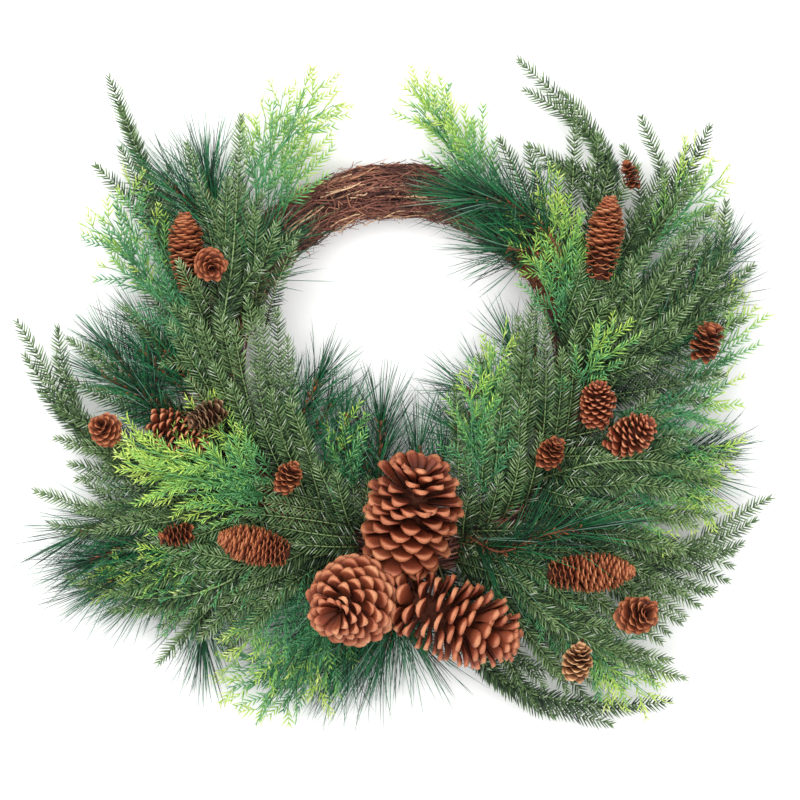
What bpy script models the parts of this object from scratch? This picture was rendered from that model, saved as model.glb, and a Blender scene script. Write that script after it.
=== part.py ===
"""Evergreen wreath lying on its back: a ring of bundled twigs, boughs pushed into it and cones laid on them.

Run with: blender --background --python part.py
The plan below is in centimetres from the ring's centre, +Y towards the ring's bare top, +Z up from the table.
"""

import math

import bmesh
import bpy
import numpy as np
from mathutils import Matrix, Vector
from mathutils.bvhtree import BVHTree

CM = 0.01

# ---- driving dimensions, centimetres ----
RING_RADIUS = 14.1          # centre of the hole to the middle of the twig bundle
BUNDLE_RADIUS = 2.2         # half the width of the twig bundle
BACK_DEPTH = 1.7            # middle of the bundle to its back, pressed flat
RING_STEPS = 40             # facets round the ring
BUNDLE_STEPS = 12           # facets round the bundle
RING_CENTRE = (0.5, 1.8)    # where the ring's centre lies, so that the whole wreath is centred on the origin
GAP = 0.04                  # room left between pieces that touch
STEM_STEPS = 5              # straight stretches in a bough's stem
TWIG_STEPS = 3              # straight stretches in a side twig
SAMPLE = 0.25               # spacing of the points that test whether stems clear each other
CONE_SAMPLE = 0.15          # the same, where a cone is let down
DROP_FROM = 30.0            # where each cone starts on its way down
WIRE_RADIUS = 0.10          # the wire pick that some of the small cones stand on

# radius of the stem at its cut end and at its tip, and of its side twigs, for each kind of bough
KINDS = {
    "spruce": {"stem": (0.20, 0.11), "twig": (0.13, 0.08), "droop": 0.3},
    "pine": {"stem": (0.24, 0.20), "twig": (0.18, 0.15), "droop": 0.2},
    "cedar": {"stem": (0.17, 0.09), "twig": (0.11, 0.07), "droop": 0.1},
}

COLOURS = {                 # colour, roughness
    "twig_bundle": ((0.115, 0.045, 0.025), 0.85),
    "spruce": ((0.085, 0.150, 0.062), 0.55),
    "pine": ((0.030, 0.130, 0.075), 0.50),
    "cedar": ((0.120, 0.300, 0.080), 0.50),
    "pine_cone": ((0.270, 0.085, 0.040), 0.60),
    "spruce_cone": ((0.300, 0.110, 0.050), 0.60),
    "larch_cone": ((0.330, 0.130, 0.060), 0.60),
}

# ---- the boughs, in the order they are laid on ----
# root: where the cut end enters the ring. stem: the points it passes through, with heights, up to its tip.
# twigs: how far along the stem each side twig leaves, and where its tip is.
BOUGHS = {
    # back layer
    "pine_bough_01": {"root": (-11.2, -9.0), "stem": [(-16.0, -14.0, 3.6), (-22.4, -15.0, 2.6)],
                      "twigs": [(0.35, (-20.2, -17.6)), (0.22, (-15.6, -21.2))]},
    "pine_bough_02": {"root": (-0.4, -14.6), "stem": [(-0.6, -19.4, 3.8), (-3.2, -22.8, 2.8)],
                      "twigs": [(0.40, (2.4, -22.0))]},
    "pine_bough_03": {"root": (13.0, -6.5), "stem": [(18.6, -7.4, 4.2), (24.3, -6.4, 3.6)], "twigs": []},
    "pine_bough_04": {"root": (14.8, -1.6), "stem": [(20.8, 2.2, 4.2), (25.0, 8.2, 3.8)], "twigs": []},
    "pine_bough_05": {"root": (-13.0, 5.2), "stem": [(-14.2, 10.2, 4.6), (-15.2, 15.3, 4.0)],
                      "twigs": [(0.40, (-17.6, 14.2)), (0.12, (-10.6, 9.8))]},
    "pine_bough_06": {"root": (-13.9, -5.0),
                      "stem": [(-18.4, -3.9, 4.6), (-20.5, -1.2, 4.8), (-22.8, 1.8, 4.4)],
                      "twigs": [(0.40, (-18.6, 1.2))]},
    "cedar_bough_01": {"root": (-11.6, 8.0),
                       "stem": [(-11.2, 13.4, 4.8), (-8.9, 18.0, 3.8), (-4.9, 24.2, 3.0)],
                       "twigs": [(0.42, (-8.8, 23.1)), (0.50, (-3.9, 22.5)), (0.28, (-12.0, 20.0))]},
    "cedar_bough_02": {"root": (10.2, 9.4), "stem": [(5.6, 15.0, 4.9), (2.6, 19.8, 3.8), (-0.5, 24.2, 3.0)],
                       "twigs": [(0.50, (-0.8, 22.4)), (0.52, (1.0, 23.4)), (0.35, (5.2, 20.2))]},
    "spruce_bough_01": {"root": (-14.8, -1.6),
                        "stem": [(-16.7, 5.8, 4.6), (-18.9, 12.6, 4.2), (-23.0, 23.2, 3.0)],
                        "twigs": [(0.38, (-22.2, 20.9)), (0.25, (-24.1, 16.2)), (0.45, (-18.3, 16.2))]},
    "spruce_bough_02": {"root": (-14.2, -6.9),
                        "stem": [(-20.0, -8.0, 4.4), (-25.2, -4.6, 4.0), (-28.2, 0.6, 3.6), (-30.2, 3.8, 3.0)],
                        "twigs": [(0.28, (-27.1, 3.3)), (0.34, (-27.2, 1.2)), (0.44, (-28.4, -1.7)),
                                  (0.54, (-29.6, 1.1)), (0.20, (-26.0, -7.4))]},
    "spruce_bough_03": {"root": (12.4, 6.6),
                        "stem": [(16.2, 11.6, 4.4), (16.2, 16.4, 4.0), (12.6, 21.3, 3.6), (9.4, 24.5, 3.0)],
                        "twigs": [(0.40, (9.9, 22.1)), (0.42, (12.9, 21.9)), (0.38, (11.3, 16.1)),
                                  (0.24, (12.2, 16.4)), (0.20, (10.1, 17.8))]},
    "spruce_bough_04": {"root": (13.9, 3.4), "stem": [(18.6, 9.0, 4.6), (20.8, 14.2, 4.2), (19.0, 20.0, 3.6)],
                        "twigs": [(0.32, (17.6, 17.6)), (0.48, (22.7, 17.6)), (0.30, (24.4, 19.2)),
                                  (0.22, (18.0, 12.6))]},
    "cedar_bough_03": {"root": (14.0, 1.8), "stem": [(19.4, 9.0, 5.0), (23.3, 17.4, 4.0)],
                       "twigs": [(0.45, (25.3, 15.2)), (0.50, (24.6, 12.6))]},
    "spruce_bough_05": {"root": (2.8, -14.8),
                        "stem": [(5.6, -21.4, 3.8), (10.0, -25.4, 2.6), (16.8, -27.6, 1.8)],
                        "twigs": [(0.30, (12.3, -27.0)), (0.32, (18.7, -26.3)), (0.28, (21.2, -26.1)),
                                  (0.20, (14.2, -24.0))]},
    "cedar_bough_04": {"root": (8.0, -12.2), "stem": [(12.6, -19.6, 4.4), (19.8, -25.8, 2.8)],
                       "twigs": [(0.50, (20.6, -23.6)), (0.55, (16.6, -25.6))]},
    "spruce_bough_06": {"root": (9.6, -11.0),
                        "stem": [(14.6, -15.2, 4.4), (20.4, -14.8, 3.8), (29.2, -10.1, 3.0)],
                        "twigs": [(0.42, (28.0, -11.9)), (0.36, (27.0, -13.7)), (0.22, (24.7, -17.3)),
                                  (0.14, (22.2, -19.9))]},
    "cedar_bough_05": {"root": (-9.4, -10.9),
                       "stem": [(-13.8, -16.2, 4.6), (-19.2, -16.8, 4.0), (-24.2, -17.7, 3.2)],
                       "twigs": [(0.35, (-21.7, -14.2)), (0.45, (-23.3, -16.1)), (0.40, (-19.6, -19.0))]},
    "cedar_bough_06": {"root": (-4.6, -13.8),
                       "stem": [(-5.6, -20.0, 4.4), (-9.0, -24.0, 3.4), (-14.1, -25.9, 2.4)],
                       "twigs": [(0.55, (-14.4, -24.2)), (0.48, (-11.9, -27.8)), (0.44, (-9.5, -28.1))]},
    # middle layer
    "spruce_bough_07": {"root": (-12.4, -8.4),
                        "stem": [(-17.8, -11.8, 5.0), (-23.0, -11.2, 4.2), (-28.8, -9.5, 3.4)],
                        "twigs": [(0.16, (-23.4, -6.7)), (0.25, (-24.6, -9.0)), (0.32, (-27.6, -12.1)),
                                  (0.20, (-24.0, -13.0))]},
    "spruce_bough_08": {"root": (-8.4, -12.0),
                        "stem": [(-13.6, -16.6, 5.0), (-20.0, -17.9, 4.0), (-26.2, -16.2, 3.2)],
                        "twigs": [(0.14, (-19.0, -23.0)), (0.26, (-18.8, -20.2)), (0.34, (-22.8, -18.9)),
                                  (0.30, (-21.8, -15.3)), (0.12, (-13.4, -21.4))]},
    "spruce_bough_09": {"root": (6.0, -13.4),
                        "stem": [(10.4, -18.2, 4.8), (15.2, -21.4, 4.4), (21.2, -22.8, 3.8)],
                        "twigs": [(0.30, (19.8, -20.2)), (0.16, (16.6, -18.4)), (0.34, (22.3, -24.2)),
                                  (0.28, (19.4, -22.3))]},
    "pine_bough_07": {"root": (11.8, -8.6), "stem": [(10.8, -2.8, 4.8), (9.0, 3.2, 4.4)],
                      "twigs": [(0.22, (5.0, -1.5))]},
    "pine_bough_08": {"root": (-1.5, -12.7), "stem": [(-1.6, -8.0, 4.4), (-1.5, -4.0, 4.0)], "twigs": []},
    "pine_bough_09": {"root": (-10.7, -7.6), "stem": [(-8.0, -4.0, 4.4), (-6.8, 0.2, 4.0)], "twigs": []},
    "cedar_bough_07": {"root": (-14.2, 0.6),
                       "stem": [(-18.2, 4.6, 5.2), (-21.4, 8.6, 4.8), (-24.2, 11.6, 4.2)],
                       "twigs": [(0.50, (-21.6, 14.6)), (0.60, (-25.2, 11.2)), (0.45, (-24.0, 7.4))]},
    "cedar_bough_08": {"root": (13.4, -4.2),
                       "stem": [(19.4, -4.0, 5.0), (23.6, -3.0, 4.6), (26.4, -0.3, 4.0)],
                       "twigs": [(0.22, (26.6, 7.0)), (0.14, (24.9, -8.4)), (0.10, (24.6, -11.4)),
                                 (0.32, (28.1, 5.0))]},
    "spruce_bough_10": {"root": (14.6, -0.2), "stem": [(20.2, 2.0, 5.4), (24.6, 6.6, 5.2), (25.6, 13.2, 4.8)],
                        "twigs": [(0.40, (27.7, 8.2)), (0.30, (24.2, 10.6)), (0.22, (26.9, 3.9)),
                                  (0.26, (22.0, 8.4))]},
    "cedar_bough_09": {"root": (12.9, 0.4), "stem": [(13.6, 6.0, 5.2), (12.9, 10.4, 5.6), (11.3, 14.9, 5.8)],
                       "twigs": [(0.45, (9.0, 11.1)), (0.40, (10.1, 8.2)), (0.12, (17.8, 4.6))]},
    "pine_bough_10": {"root": (12.0, 4.2), "stem": [(12.2, 9.4, 5.0), (9.2, 12.6, 5.2), (5.4, 13.5, 5.4)],
                      "twigs": [(0.28, (8.4, 9.4))]},
    "cedar_bough_10": {"root": (6.9, -11.0), "stem": [(6.4, -6.8, 5.2), (7.2, -1.4, 5.6), (8.1, 2.6, 5.8)],
                       "twigs": [(0.55, (6.6, 1.2))]},
    "cedar_bough_11": {"root": (-4.3, -11.8), "stem": [(-4.2, -8.0, 4.6), (-3.9, -3.8, 4.8)], "twigs": []},
    # front layer
    "spruce_bough_11": {"root": (-13.4, -3.4),
                        "stem": [(-13.9, 2.4, 5.4), (-13.0, 9.2, 6.0), (-12.4, 19.6, 6.0)],
                        "twigs": [(0.24, (-16.6, 17.5)), (0.16, (-18.0, 5.0)), (0.12, (-18.6, 0.4)),
                                  (0.14, (-10.6, 4.8)), (0.30, (-10.8, 13.6)), (0.26, (-7.9, 10.6)),
                                  (0.40, (-15.7, 14.2))]},
    "spruce_bough_12": {"root": (-6.4, -11.0),
                        "stem": [(-7.7, -7.4, 5.2), (-9.2, -4.0, 5.4), (-10.6, -0.6, 5.4)],
                        "twigs": [(0.15, (-4.9, -7.6)), (0.40, (-7.6, -3.6)), (0.25, (-12.2, -4.0))]},
    "spruce_bough_13": {"root": (-5.6, -13.0),
                        "stem": [(-9.4, -15.0, 5.4), (-14.4, -14.5, 5.6), (-19.2, -13.3, 5.0)],
                        "twigs": [(0.08, (-13.8, -9.6)), (0.20, (-13.0, -11.8)), (0.34, (-16.6, -15.7)),
                                  (0.18, (-12.4, -16.9))]},
    "spruce_bough_14": {"root": (8.6, -10.4), "stem": [(9.0, -6.0, 5.4), (9.3, -1.2, 5.8), (9.2, 4.2, 5.6)],
                        "twigs": [(0.14, (6.2, 1.0)), (0.48, (10.8, 6.3)), (0.22, (14.2, 1.9)),
                                  (0.08, (4.6, -3.2)), (0.30, (11.6, -1.0))]},
    "spruce_bough_15": {"root": (13.9, -3.0),
                        "stem": [(16.6, -1.2, 6.0), (18.8, 4.2, 6.8), (22.1, 10.7, 7.0)],
                        "twigs": [(0.20, (15.0, 8.8)), (0.40, (17.8, 8.6)), (0.30, (21.4, 3.4))]},
    "cedar_bough_12": {"root": (-8.6, -10.3),
                       "stem": [(-12.8, -9.2, 6.2), (-17.2, -7.2, 6.6), (-21.8, -5.2, 6.2)],
                       "twigs": [(0.22, (-15.4, -2.2)), (0.45, (-19.4, -8.4)), (0.15, (-12.2, -5.2))]},
    "spruce_bough_16": {"root": (9.9, -9.0),
                        "stem": [(14.6, -7.4, 5.8), (19.4, -7.1, 6.0), (24.0, -8.2, 5.4)],
                        "twigs": [(0.12, (20.0, -1.9)), (0.40, (22.4, -5.6)), (0.30, (21.0, -10.0)),
                                  (0.16, (18.2, -10.2))]},
    "pine_bough_11": {"root": (4.6, -12.6),
                      "stem": [(7.8, -14.2, 5.6), (11.0, -12.9, 6.2), (14.2, -12.3, 6.4)],
                      "twigs": []},
}

# ---- the cones, in the order they are laid on ----
# at: the middle. heading and tilt: which way the tip points, and how far up. A cone with a height stands
# on a wire pick, which holds its middle that high above the table.
CONES = {
    "spruce_cone_1": {"at": (-11.3, -13.6), "heading": 166, "tilt": 4, "length": 6.2, "width": 3.2},
    "spruce_cone_2": {"at": (-16.7, 9.2), "heading": 92, "tilt": 6, "length": 7.0, "width": 2.9},
    "spruce_cone_3": {"at": (15.9, 10.2), "heading": 82, "tilt": 8, "length": 7.4, "width": 3.0},
    "spruce_cone_4": {"at": (14.9, -15.8), "heading": 2, "tilt": 4, "length": 7.6, "width": 3.3},
    "pine_cone_1": {"at": (1.1, -11.2), "heading": 78, "tilt": 28, "length": 9.0, "width": 7.6},
    "pine_cone_2": {"at": (-4.1, -18.2), "heading": 212, "tilt": 58, "length": 7.0, "width": 7.4},
    "pine_cone_3": {"at": (4.7, -20.0), "heading": 339, "tilt": 8, "length": 9.4, "width": 6.8},
    "pine_cone_4": {"at": (-17.2, -5.2), "heading": 332, "tilt": 10, "length": 4.8, "width": 3.4},
    "pine_cone_5": {"at": (15.4, -2.6), "heading": 85, "tilt": 35, "length": 3.6, "width": 2.9},
    "pine_cone_6": {"at": (18.1, -4.9), "heading": 35, "tilt": 30, "length": 3.9, "width": 3.2},
    "larch_cone_1": {"at": (-14.7, 8.1), "heading": 300, "tilt": 68, "length": 2.6, "width": 2.6},
    "larch_cone_2": {"at": (-22.9, -4.6), "heading": 120, "tilt": 66, "length": 2.5, "width": 2.6},
    "larch_cone_3": {"at": (-15.0, -3.6), "heading": 205, "tilt": 20, "length": 2.8, "width": 2.3},
    "larch_cone_4": {"at": (-8.7, -8.4), "heading": 60, "tilt": 30,
                     "length": 2.4, "width": 2.1, "height": 7.3},
    "larch_cone_5": {"at": (-17.4, -12.9), "heading": 190, "tilt": 12, "length": 2.5, "width": 2.0},
    "larch_cone_6": {"at": (23.8, 2.1), "heading": 70, "tilt": 20,
                     "length": 2.7, "width": 2.5, "height": 7.0},
    "larch_cone_7": {"at": (11.7, -6.5), "heading": 60, "tilt": 35,
                     "length": 2.4, "width": 2.2, "height": 7.3},
    "larch_cone_8": {"at": (18.4, -19.1), "heading": 15, "tilt": 55,
                     "length": 2.8, "width": 3.1, "height": 6.8},
    "larch_cone_9": {"at": (13.8, -22.8), "heading": 80, "tilt": 30,
                     "length": 2.5, "width": 2.5, "height": 6.35},
    "larch_cone_10": {"at": (18.0, 15.2), "heading": 110, "tilt": 10,
                      "length": 2.2, "width": 1.5, "height": 5.8},
}

# facets round each kind of cone, and the rows of scales that its steps stand for; below a fullness of 1
# its widest place is nearer the stalk
CONE_KINDS = {
    "pine": {"facets": 12, "rows": 7, "step": 0.16, "fullness": 0.80},
    "spruce": {"facets": 10, "rows": 9, "step": 0.12, "fullness": 0.95},
    "larch": {"facets": 8, "rows": 4, "step": 0.14, "fullness": 0.85},
}


def clear_scene():
    for obj in list(bpy.data.objects):
        bpy.data.objects.remove(obj)


def make_collection():
    collection = bpy.data.collections.new("evergreen_wreath")
    bpy.context.scene.collection.children.link(collection)
    return collection


def make_material(name):
    colour, roughness = COLOURS[name]
    material = bpy.data.materials.new(name)
    material.use_nodes = True
    shader = material.node_tree.nodes["Principled BSDF"]
    shader.inputs["Base Color"].default_value = (*colour, 1.0)
    shader.inputs["Roughness"].default_value = roughness
    material.diffuse_color = (*colour, 1.0)
    return material


def add_object(name, mesh, material, collection):
    """A named piece of the wreath."""
    mesh.materials.clear()
    mesh.materials.append(material)
    obj = bpy.data.objects.new(name, mesh)
    collection.objects.link(obj)
    return obj


# ---- the twig ring ----
def bundle_surface(x, y, above):
    """The point `above` centimetres off the bundle's front, over plan position x, y, as (x, y, z)."""
    reach = math.hypot(x, y)
    aside = max(-0.95, min(0.95, (reach - RING_RADIUS) / BUNDLE_RADIUS))
    up = math.sqrt(1 - aside * aside)
    out = RING_RADIUS + aside * (BUNDLE_RADIUS + above)
    return (x / reach * out, y / reach * out, BACK_DEPTH + up * (BUNDLE_RADIUS + above))


def twig_ring(collection, material):
    """A closed bundle bent into a ring, its back pressed flat and a facet square to each compass point."""
    bpy.ops.mesh.primitive_torus_add(
        major_segments=RING_STEPS, minor_segments=BUNDLE_STEPS,
        major_radius=RING_RADIUS * CM, minor_radius=BUNDLE_RADIUS * CM,
    )
    torus = bpy.context.object
    mesh = torus.data
    bpy.data.objects.remove(torus)
    half_step = math.pi / BUNDLE_STEPS
    for vertex in mesh.vertices:
        bearing = math.atan2(vertex.co.y, vertex.co.x) + math.pi / RING_STEPS
        aside = math.hypot(vertex.co.x, vertex.co.y) - RING_RADIUS * CM
        round_bundle = math.atan2(vertex.co.z, aside) + half_step
        reach = (RING_RADIUS + BUNDLE_RADIUS * math.cos(round_bundle)) * CM
        height = max(BUNDLE_RADIUS * math.sin(round_bundle), -BACK_DEPTH) + BACK_DEPTH
        vertex.co = (reach * math.cos(bearing), reach * math.sin(bearing), height * CM)
    return add_object("twig_ring", mesh, material, collection)


# ---- paths ----
def smooth_point(points, along):
    """A point on the smooth curve through these points; along runs from 0 to 1."""
    stretch = along * (len(points) - 1)
    i = min(int(stretch), len(points) - 2)
    t = stretch - i
    before = points[i - 1] if i else points[0] * 2 - points[1]
    after = points[i + 2] if i + 2 < len(points) else points[-1] * 2 - points[-2]
    a, b = points[i], points[i + 1]
    return 0.5 * (2 * a + (b - before) * t + (2 * before - 5 * a + 4 * b - after) * t * t
                  + (3 * a - before - 3 * b + after) * t ** 3)


def smooth_path(points, steps):
    return [smooth_point(points, i / steps) for i in range(steps + 1)]


def bend_path(start, middle, end, steps):
    """A single bend from start to end, drawn towards middle."""
    shares = [i / steps for i in range(steps + 1)]
    return [start * (1 - t) ** 2 + middle * 2 * t * (1 - t) + end * t * t for t in shares]


def bough_paths(plan, kind):
    """The stem and the side twigs, before lifting: (points, how much of the lift each takes, radii) of each."""
    sizes = KINDS[kind]
    root = Vector(bundle_surface(*plan["root"], sizes["stem"][0] + GAP))
    points = [root] + [Vector(p) for p in plan["stem"]]
    stem = smooth_path(points, STEM_STEPS)
    paths = [(stem, [0.0] + [1.0] * STEM_STEPS, sizes["stem"])]
    for along, tip in plan["twigs"]:
        place = along * STEM_STEPS
        i = min(int(place), STEM_STEPS - 1)
        start = stem[i].lerp(stem[i + 1], place - i)
        ahead = (stem[i + 1] - stem[i]).normalized()
        fall = (stem[-1].z - start.z) * 0.9 - sizes["droop"]
        end = Vector((*tip, start.z + fall))
        middle = start + ahead * (end - start).length * 0.45
        middle.z = start.z + fall * 0.35
        weight = min(place, 1.0)
        weights = [weight + (1 - weight) * k / TWIG_STEPS for k in range(TWIG_STEPS + 1)]
        paths.append((bend_path(start, middle, end, TWIG_STEPS), weights, sizes["twig"]))
    return paths


def sampled(paths):
    """Points every few millimetres along the paths: x, y, z, share of the lift, radius."""
    rows = []
    for points, weights, (thick, thin) in paths:
        for i in range(len(points) - 1):
            count = max(1, int((points[i + 1] - points[i]).length / SAMPLE))
            for k in range(count + 1):
                t = k / count
                along = (i + t) / (len(points) - 1)
                share = weights[i] + (weights[i + 1] - weights[i]) * t
                rows.append((*points[i].lerp(points[i + 1], t), share, thick + (thin - thick) * along))
    return np.array(rows)


def lift_to_clear(rows, laid):
    """The least lift that takes a bough over or between those laid before, clear of the ring and the table."""
    blocked = []
    least = 0.0
    for x, y, z, share, radius in rows:
        if share < 0.05:
            continue
        reach = math.hypot(x, y)
        if abs(reach - RING_RADIUS) < BUNDLE_RADIUS:
            surface = BACK_DEPTH + math.sqrt(BUNDLE_RADIUS ** 2 - (reach - RING_RADIUS) ** 2)
            if share > 0.3:
                least = max(least, (surface + radius + GAP - z) / share)
        least = max(least, (radius + GAP - z) / share)
        if len(laid):
            room = laid[:, 4] + radius + 1.5 * GAP + SAMPLE * 0.12
            apart = np.hypot(laid[:, 0] - x, laid[:, 1] - y)
            near = apart < room
            half = np.sqrt(room[near] ** 2 - apart[near] ** 2)
            middle = laid[near, 2] - z
            blocked += [((m - h) / share, (m + h) / share) for m, h in zip(middle, half)]
    lift = least
    for low, high in sorted(blocked):
        if low < lift < high:
            lift = high
    return lift + 0.001


# ---- the boughs ----
def tube_mesh(points, radii):
    """A tapering square rod along the points, closed at both ends."""
    curve = bpy.data.curves.new("rod", "CURVE")
    curve.dimensions = "3D"
    curve.bevel_depth = CM
    curve.bevel_resolution = 0
    curve.use_fill_caps = True
    spline = curve.splines.new("POLY")
    spline.points.add(len(points) - 1)
    for i, point in enumerate(points):
        spline.points[i].co = (*(point * CM), 1.0)
        spline.points[i].radius = radii[0] + (radii[1] - radii[0]) * i / (len(points) - 1)
    rod = bpy.data.objects.new("rod", curve)
    bpy.context.scene.collection.objects.link(rod)
    graph = bpy.context.evaluated_depsgraph_get()
    mesh = bpy.data.meshes.new_from_object(rod.evaluated_get(graph))
    bpy.data.objects.remove(rod)
    return welded(mesh)


def welded(mesh):
    work = bmesh.new()
    work.from_mesh(mesh)
    bmesh.ops.remove_doubles(work, verts=work.verts, dist=0.00001)
    bmesh.ops.recalc_face_normals(work, faces=work.faces)
    work.to_mesh(mesh)
    work.free()
    return mesh


def joined(meshes):
    """The Boolean union of these meshes, the first one growing by each of the others."""
    scene = bpy.context.scene.collection
    base = bpy.data.objects.new("joined", meshes[0])
    scene.objects.link(base)
    for other in meshes[1:]:
        added = bpy.data.objects.new("added", other)
        scene.objects.link(added)
        union = base.modifiers.new("join", "BOOLEAN")
        union.operation = "UNION"
        union.object = added
        graph = bpy.context.evaluated_depsgraph_get()
        grown = bpy.data.meshes.new_from_object(base.evaluated_get(graph))
        base.modifiers.remove(union)
        base.data = grown
        bpy.data.objects.remove(added)
    mesh = base.data
    bpy.data.objects.remove(base)
    return welded(mesh)


def seat_root(mesh, root, radius, ring_tree):
    """Moves the cut end of a stem square onto the facet of the ring it meets, with a hair's gap."""
    at, normal, _, _ = ring_tree.find_nearest(root * CM)
    cap = [v for v in mesh.vertices if (v.co - root * CM).length < radius * CM * 1.1]
    room = min((v.co - at).dot(normal) for v in cap)
    for vertex in cap:
        vertex.co -= normal * (room - GAP * CM)


def lay_boughs(collection, materials, ring):
    ring_faces = [p.vertices for p in ring.data.polygons]
    ring_tree = BVHTree.FromPolygons([v.co for v in ring.data.vertices], ring_faces)
    laid = np.zeros((0, 5))
    made = []
    for name, plan in BOUGHS.items():
        kind = name.split("_")[0]
        paths = bough_paths(plan, kind)
        rows = sampled(paths)
        lift = lift_to_clear(rows, laid)
        rows[:, 2] += rows[:, 3] * lift
        laid = np.vstack([laid, rows])
        rods = []
        for points, weights, radii in paths:
            lifted = [p + Vector((0, 0, lift * w)) for p, w in zip(points, weights)]
            rods.append(tube_mesh(lifted, radii))
        seat_root(rods[0], paths[0][0][0], KINDS[kind]["stem"][0], ring_tree)
        made.append(add_object(name, joined(rods), materials[kind], collection))
        print(f"{name}: lifted {lift:.2f} cm, top {rows[:, 2].max():.1f} cm")
    return made


# ---- the cones ----
def cone_mesh(length, width, facets, rows, step, fullness):
    """A cone along +Z from its stalk end to its tip: a turned, stepped profile, a step to a row of scales."""
    profile = []
    for row in range(rows):
        for share, shrink in ((0.0, step), (0.75, 0.0)):
            t = (row + share) / rows
            swell = math.sin(math.pi * (0.10 + 0.84 * t) ** fullness) ** 0.7
            profile.append((0.5 * width * swell * (1 - shrink), length * (0.02 + 0.96 * t)))
    profile = [(0.0, 0.0)] + profile + [(0.0, length)]
    mesh = bpy.data.meshes.new("cone")
    centred = [(r * CM, 0.0, (z - length / 2) * CM) for r, z in profile]
    mesh.from_pydata(centred, [(i, i + 1) for i in range(len(centred) - 1)], [])
    turned = bpy.data.objects.new("cone", mesh)
    bpy.context.scene.collection.objects.link(turned)
    screw = turned.modifiers.new("turn", "SCREW")
    screw.steps = facets
    screw.render_steps = facets
    screw.use_merge_vertices = True
    screw.merge_threshold = 0.00001
    graph = bpy.context.evaluated_depsgraph_get()
    solid = bpy.data.meshes.new_from_object(turned.evaluated_get(graph))
    bpy.data.objects.remove(turned)
    return welded(solid)


def edge_points(mesh):
    """Points along every edge, so that a drop test sees edges that cross."""
    found = []
    for edge in mesh.edges:
        a, b = (mesh.vertices[i].co for i in edge.vertices)
        count = max(1, int((b - a).length / (CONE_SAMPLE * CM)))
        found += [a.lerp(b, k / count) for k in range(count)]
    return found


def drop_onto(mesh, below, below_points):
    """How far the mesh can come straight down before it touches what lies below."""
    tree = BVHTree.FromPolygons([v.co for v in mesh.vertices], [p.vertices for p in mesh.polygons])
    low = Vector(map(min, *(v.co for v in mesh.vertices)))
    high = Vector(map(max, *(v.co for v in mesh.vertices)))
    fall = low.z
    for point in edge_points(mesh):
        hit, _, _, distance = below.ray_cast(point, Vector((0, 0, -1)))
        if hit is not None:
            fall = min(fall, distance)
    for point in below_points:
        if low.x <= point.x <= high.x and low.y <= point.y <= high.y:
            hit, _, _, distance = tree.ray_cast(point, Vector((0, 0, 1)))
            if hit is not None:
                fall = min(fall, distance)
    return fall


def on_a_wire(cone, middle, below):
    """The cone with a wire pick from its middle to a hair short of the nearest thing already laid."""
    nearest, _, _, _ = below.find_nearest(middle * CM)
    foot = nearest / CM
    foot += (middle - foot).normalized() * GAP
    return joined([cone, tube_mesh([middle, foot], (WIRE_RADIUS, WIRE_RADIUS))])


def seat_cones(collection, materials, ring, boughs):
    """Each cone is turned to its heading and let down onto the stems, the ring or the cones under it."""
    vertices, faces, points = [], [], []

    def add_below(mesh):
        start = len(vertices)
        vertices.extend(v.co.copy() for v in mesh.vertices)
        faces.extend([start + i for i in p.vertices] for p in mesh.polygons)
        points.extend(edge_points(mesh))

    for obj in [ring] + boughs:
        add_below(obj.data)
    for name, plan in CONES.items():
        kind = name.split("_")[0]
        mesh = cone_mesh(plan["length"], plan["width"], **CONE_KINDS[kind])
        turn = Matrix.Rotation(math.radians(plan["heading"]), 4, "Z") @ Matrix.Rotation(
            math.radians(90 - plan["tilt"]), 4, "Y")
        mesh.transform(Matrix.Translation((plan["at"][0] * CM, plan["at"][1] * CM, DROP_FROM * CM)) @ turn)
        below = BVHTree.FromPolygons(vertices, faces)
        fall = drop_onto(mesh, below, points) - GAP * CM
        height = max(plan.get("height", 0.0), DROP_FROM - fall / CM)
        mesh.transform(Matrix.Translation((0, 0, (height - DROP_FROM) * CM)))
        if "height" in plan:
            mesh = on_a_wire(mesh, Vector((*plan["at"], height)), below)
        print(f"{name}: middle {height:.2f} cm up")
        add_below(mesh)
        add_object(name, mesh, materials[kind + "_cone"], collection)


def main():
    clear_scene()
    collection = make_collection()
    materials = {name: make_material(name) for name in COLOURS}
    ring = twig_ring(collection, materials["twig_bundle"])
    boughs = lay_boughs(collection, materials, ring)
    seat_cones(collection, materials, ring, boughs)
    for obj in collection.objects:
        obj.data.transform(Matrix.Translation((RING_CENTRE[0] * CM, RING_CENTRE[1] * CM, 0)))


main()
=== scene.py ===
import math

import bpy
import numpy as np
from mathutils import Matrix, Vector


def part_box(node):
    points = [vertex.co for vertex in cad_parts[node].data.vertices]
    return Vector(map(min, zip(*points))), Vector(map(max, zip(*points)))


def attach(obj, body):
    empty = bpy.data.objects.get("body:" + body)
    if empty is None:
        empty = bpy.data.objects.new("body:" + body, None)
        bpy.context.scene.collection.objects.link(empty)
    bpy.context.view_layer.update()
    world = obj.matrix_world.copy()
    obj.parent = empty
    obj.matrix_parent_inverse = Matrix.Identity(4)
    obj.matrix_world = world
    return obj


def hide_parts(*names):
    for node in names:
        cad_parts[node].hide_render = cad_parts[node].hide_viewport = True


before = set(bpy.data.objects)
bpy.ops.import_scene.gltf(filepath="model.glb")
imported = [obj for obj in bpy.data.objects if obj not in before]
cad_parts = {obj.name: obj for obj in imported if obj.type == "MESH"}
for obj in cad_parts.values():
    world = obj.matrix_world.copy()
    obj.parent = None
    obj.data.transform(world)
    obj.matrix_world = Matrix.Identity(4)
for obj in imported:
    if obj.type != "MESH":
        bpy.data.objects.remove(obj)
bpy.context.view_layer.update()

# plans are in centimetres from the ring's centre: +X right, +Y towards the bare top, +Z up off the table
cm = 0.01
ringLow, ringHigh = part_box("twig_ring")
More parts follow.
